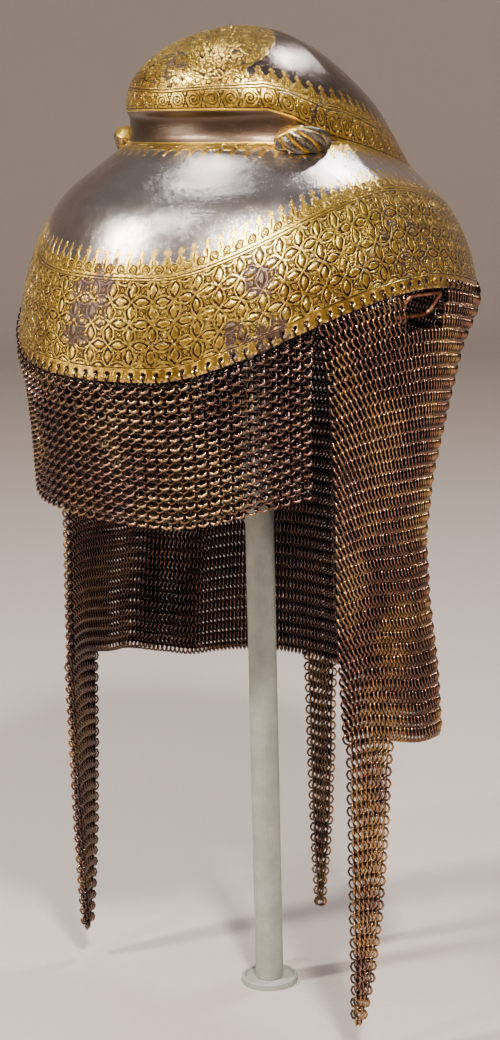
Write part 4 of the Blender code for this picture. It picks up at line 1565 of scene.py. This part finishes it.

# %% [markdown]
# One metal carries it all. The colour goes from cloudy steel to gold where gold is left, to
# a brown where it was lost, and to nearly black in the cuts. The gold is painted darker toward
# the back, as painted shade on the side away from the lamps. The bun's steel is painted darker,
# as a painted reflection of dark surroundings, and the cove under the bun is painted dark brown
# as painted shade. The relief is a bump of half a millimetre: cuts go in, petals swell, and a
# soft hammered unevenness bends the mirror images. A thin coat gives the sharp gleam that rubbed
# metal has over its satin ground.

# %% The finished metal
GOLD = (1.0, 0.67, 0.10)
GOLD_WORN = (0.56, 0.335, 0.045)
GOLD_REAR_SHADE = (0.36, 0.205, 0.045)
GROOVE = (0.024, 0.011, 0.003)
STEEL = (0.44, 0.395, 0.385)
STEEL_DIM = (0.30, 0.25, 0.235)
BUN_DARK_REFLECTION = (0.175, 0.130, 0.105)
COVE_SHADE = (0.105, 0.070, 0.048)
LOST = (0.13, 0.082, 0.062)
STAIN = (0.14, 0.105, 0.095)
RELIEF = 0.00055
COAT, COAT_ROUGHNESS = 0.3, 0.07

rub = noise(tree, spot, 22.0, 5.0, 0.62)
gold_color = blend_colors(tree, (rub * 0.7 + fine * 0.3).rise(0.42, 0.62), GOLD, GOLD_WORN)
# Painted shade: the gold is painted browner toward the back, the side away from the lamps.
gold_color = blend_colors(tree, py.rise(-35.0, 55.0) * (0.2 + rub), gold_color, GOLD_REAR_SHADE)
steel_cloud = noise(tree, spot, 30.0, 4.0, 0.55)
dimmed = (steel_cloud * 0.8 + fine * 0.2).rise(0.36, 0.70)
steel_color = blend_colors(tree, dimmed, STEEL, STEEL_DIM)
# Painted reflection: the bun's steel above the crease is painted darker and browner, for dark
# surroundings mirrored in it.
steel_color = blend_colors(tree, above_crease * (0.45 + steel_cloud), steel_color, BUN_DARK_REFLECTION)
stain = noise(tree, spot, 11.0, 7.0, 0.72).rise(0.56, 0.66) * 0.7
steel_color = blend_colors(tree, stain, steel_color, STAIN)
# Painted shade: the hollow under the bun's front is painted dark brown, where its undercut lies in
# shade.
in_cove = above_crease * on_bun.rise(0.1, -0.5)
steel_color = blend_colors(tree, in_cove, steel_color, COVE_SHADE)
was_gold = blend_colors(tree, gold, steel_color, LOST)
metal_color = blend_colors(tree, gold_left, was_gold, gold_color)
final_color = blend_colors(tree, cut_all * (gold * 0.5 + gold_left * 0.5), metal_color, GROOVE)
tree.links.new(final_color, shader.inputs["Base Color"])
shader.inputs["Metallic"].default_value = 1.0
pits = (fine * 0.6 + speck * 0.4).rise(0.36, 0.28)
roughness = 0.165 + cloud * 0.12 + stain * 0.2 + (gold * (1.0 - kept)) * 0.12 + pits * 0.15
roughness = roughness + cut_all * gold * 0.3 + in_cove * 0.14
tree.links.new(roughness.socket, shader.inputs["Roughness"])
pillow = (0.0 - petal).rise(-0.2, 1.6) * in_lattice * 0.30
hammered = noise(tree, spot, 13.0, 2.0, 0.5)
relief = (1.0 - cut_all * gold) + pillow * gold + gold_left * 0.15 - pits * 0.25
relief = relief + fine * 0.16 + speck * 0.24 * (gold + 0.2) + cloud * 0.12 + hammered * 0.55
raised(tree, shader, relief, RELIEF)
shader.inputs["Coat Weight"].default_value = COAT
shader.inputs["Coat Roughness"].default_value = COAT_ROUGHNESS
tree.links.new(shader.inputs["Normal"].links[0].from_socket, shader.inputs["Coat Normal"])
skull.data.materials.append(metal_finish)
print("bowl finish:", len(tree.nodes), "nodes")

# %% [markdown]
# ## The bosses' metal
# Each boss is iron with a gilt hub and gilt grooves between dark petals. Its own map counts
# the petals round the hub, and gives the way out from it as an angle.

# %% Boss finish
PATINA_LIGHT, PATINA_DARK = (0.30, 0.275, 0.235), (0.085, 0.07, 0.05)
BOSS_RELIEF = 0.00016

boss_finish, tree, shader = new_material("gilt_lotus_iron")
_, spot = place_in_mm(tree)
petal_turn, petal_out = map_fields(tree, "petal_map")
speck = noise(tree, spot, 0.9, 4.0, 0.65)
ridge = abs(petal_turn.cell(1.0))
in_groove = (ridge + speck.swing(0.25)).rise(0.155, 0.09)
on_hub = (petal_out + speck.swing(0.25)).rise(BOSS_CAP + 0.10, BOSS_CAP - 0.02)
on_ridge = (ridge + speck.swing(0.4)).rise(0.42, 0.50) * petal_out.rise(1.5, 1.2)
gilt = in_groove.most(on_hub, on_ridge * 0.8)
patina = blend_colors(tree, speck.rise(0.4, 0.62), PATINA_LIGHT, PATINA_DARK)
gilt_color = blend_colors(tree, speck.rise(0.35, 0.7), GOLD, GOLD_WORN)
boss_color = blend_colors(tree, gilt, patina, gilt_color)
tree.links.new(boss_color, shader.inputs["Base Color"])
shader.inputs["Metallic"].default_value = 1.0
tree.links.new((0.20 + speck * 0.22).socket, shader.inputs["Roughness"])
raised(tree, shader, speck + noise(tree, spot, 0.35, 2.0) * 0.4, BOSS_RELIEF)
for boss in bosses:
    boss.data.materials.append(boss_finish)
print("boss finish:", len(tree.nodes), "nodes")

# %% [markdown]
# ## Iron rings, copper wire, gilt rivets and paint
# The rings are old drawn iron with a skin of oxide. Each ring is painted nearly black on its
# inner and deeper parts, as painted shade between the rings, and brown where it stands out and
# rubs, partly real wear and partly painted light on the outer side. Their depth map tells which
# parts those are, and the brown drifts between two tints over the panel.
# The ear frames are dull copper wire, browned in patches. The rivets are gilt and rubbed.
# Inside, the bowl is bare dark iron. All these and the stand's matt paint come from one
# recipe: two colours clouded into each other at two grains, a roughness that follows them,
# and a fine uneven skin.

# %% Clouded finishes
CLOUDED_COLUMNS = ("name", "dark", "light", "grain", "fine_grain", "rough", "metal", "skin")
CLOUDED = (
    ("mail_iron", (0.016, 0.010, 0.010), (0.34, 0.180, 0.125), 3.2, 0.40, 0.08, 1.0, 0.00006),
    ("inner_iron", (0.030, 0.020, 0.015), (0.12, 0.080, 0.058), 6.0, 0.60, 0.42, 1.0, 0.00012),
    ("copper_wire", (0.14, 0.050, 0.024), (0.70, 0.31, 0.17), 2.4, 0.50, 0.24, 1.0, 0.00010),
    ("rubbed_gilt", (0.30, 0.17, 0.05), (0.78, 0.54, 0.15), 1.4, 0.40, 0.20, 1.0, 0.00008),
    ("stand_paint", (0.245, 0.26, 0.232), (0.33, 0.34, 0.305), 9.0, 0.60, 0.52, 0.0, 0.00010),
)
MAIL_LIGHT_WARM = (0.45, 0.275, 0.120)
MAIL_COAT, MAIL_COAT_ROUGHNESS = 0.3, 0.06
WIDER = 9.0

clouded = {}
for kind in named_rows(CLOUDED_COLUMNS, CLOUDED):
    light = kind["light"]
    made, tree, shader = new_material(kind["name"])
    _, spot = place_in_mm(tree)
    lumps = noise(tree, spot, kind["grain"], 4.0, 0.6)
    wide = noise(tree, spot, kind["grain"] * WIDER, 3.0, 0.55)
    skin = noise(tree, spot, kind["fine_grain"], 2.0, 0.6)
    share = (lumps * 0.5 + wide * 0.35 + skin * 0.15).rise(0.38, 0.62)
    if kind["name"] == "mail_iron":
        # Painted shade: the inner and deeper parts of each ring are darkened and the outer arcs
        # kept light, partly as real rubbing and oxide.
        outward, high = map_in_mm(tree, "depth_map")
        at_ends = abs(high).rise(1.5, 2.6) * outward.rise(-1.2, 0.4)
        rub_and_painted_shade = outward.rise(-0.2, 2.0).most(at_ends, outward.rise(-0.3, -2.0) * 0.27)
        share = rub_and_painted_shade * (0.35 + share * 0.65)
        light = blend_colors(tree, wide.rise(0.44, 0.56), light, MAIL_LIGHT_WARM)
        shader.inputs["Coat Weight"].default_value = MAIL_COAT
        shader.inputs["Coat Roughness"].default_value = MAIL_COAT_ROUGHNESS
    color = blend_colors(tree, share, kind["dark"], light)
    tree.links.new(color, shader.inputs["Base Color"])
    shader.inputs["Metallic"].default_value = kind["metal"]
    rough = kind["rough"] + lumps * 0.2
    tree.links.new(rough.socket, shader.inputs["Roughness"])
    raised(tree, shader, skin + lumps, kind["skin"])
    clouded[kind["name"]] = made
for piece in mail_pieces:
    piece.data.materials.append(clouded["mail_iron"])
for wire in ear_wires:
    wire.data.materials.append(clouded["copper_wire"])
skull.data.materials.append(clouded["inner_iron"])

FINISH_OF = {"rim_rivet": "rubbed_gilt", "stand": "stand_paint"}
for name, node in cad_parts.items():
    for start, finish in FINISH_OF.items():
        if name.startswith(start):
            for holder in node.material_slots:
                holder.material = clouded[finish]
            node.data.shade_smooth()
print("finishes:", sorted(clouded))

# %% [markdown]
# ## Closing
# The two boxes show whether the dressed helmet kept its size.

# %% Size and finish
new_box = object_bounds()
for name, box in (("CAD box", cad_box), ("visual box", new_box)):
    print(name, [tuple(round(value, 4) for value in corner) for corner in box])
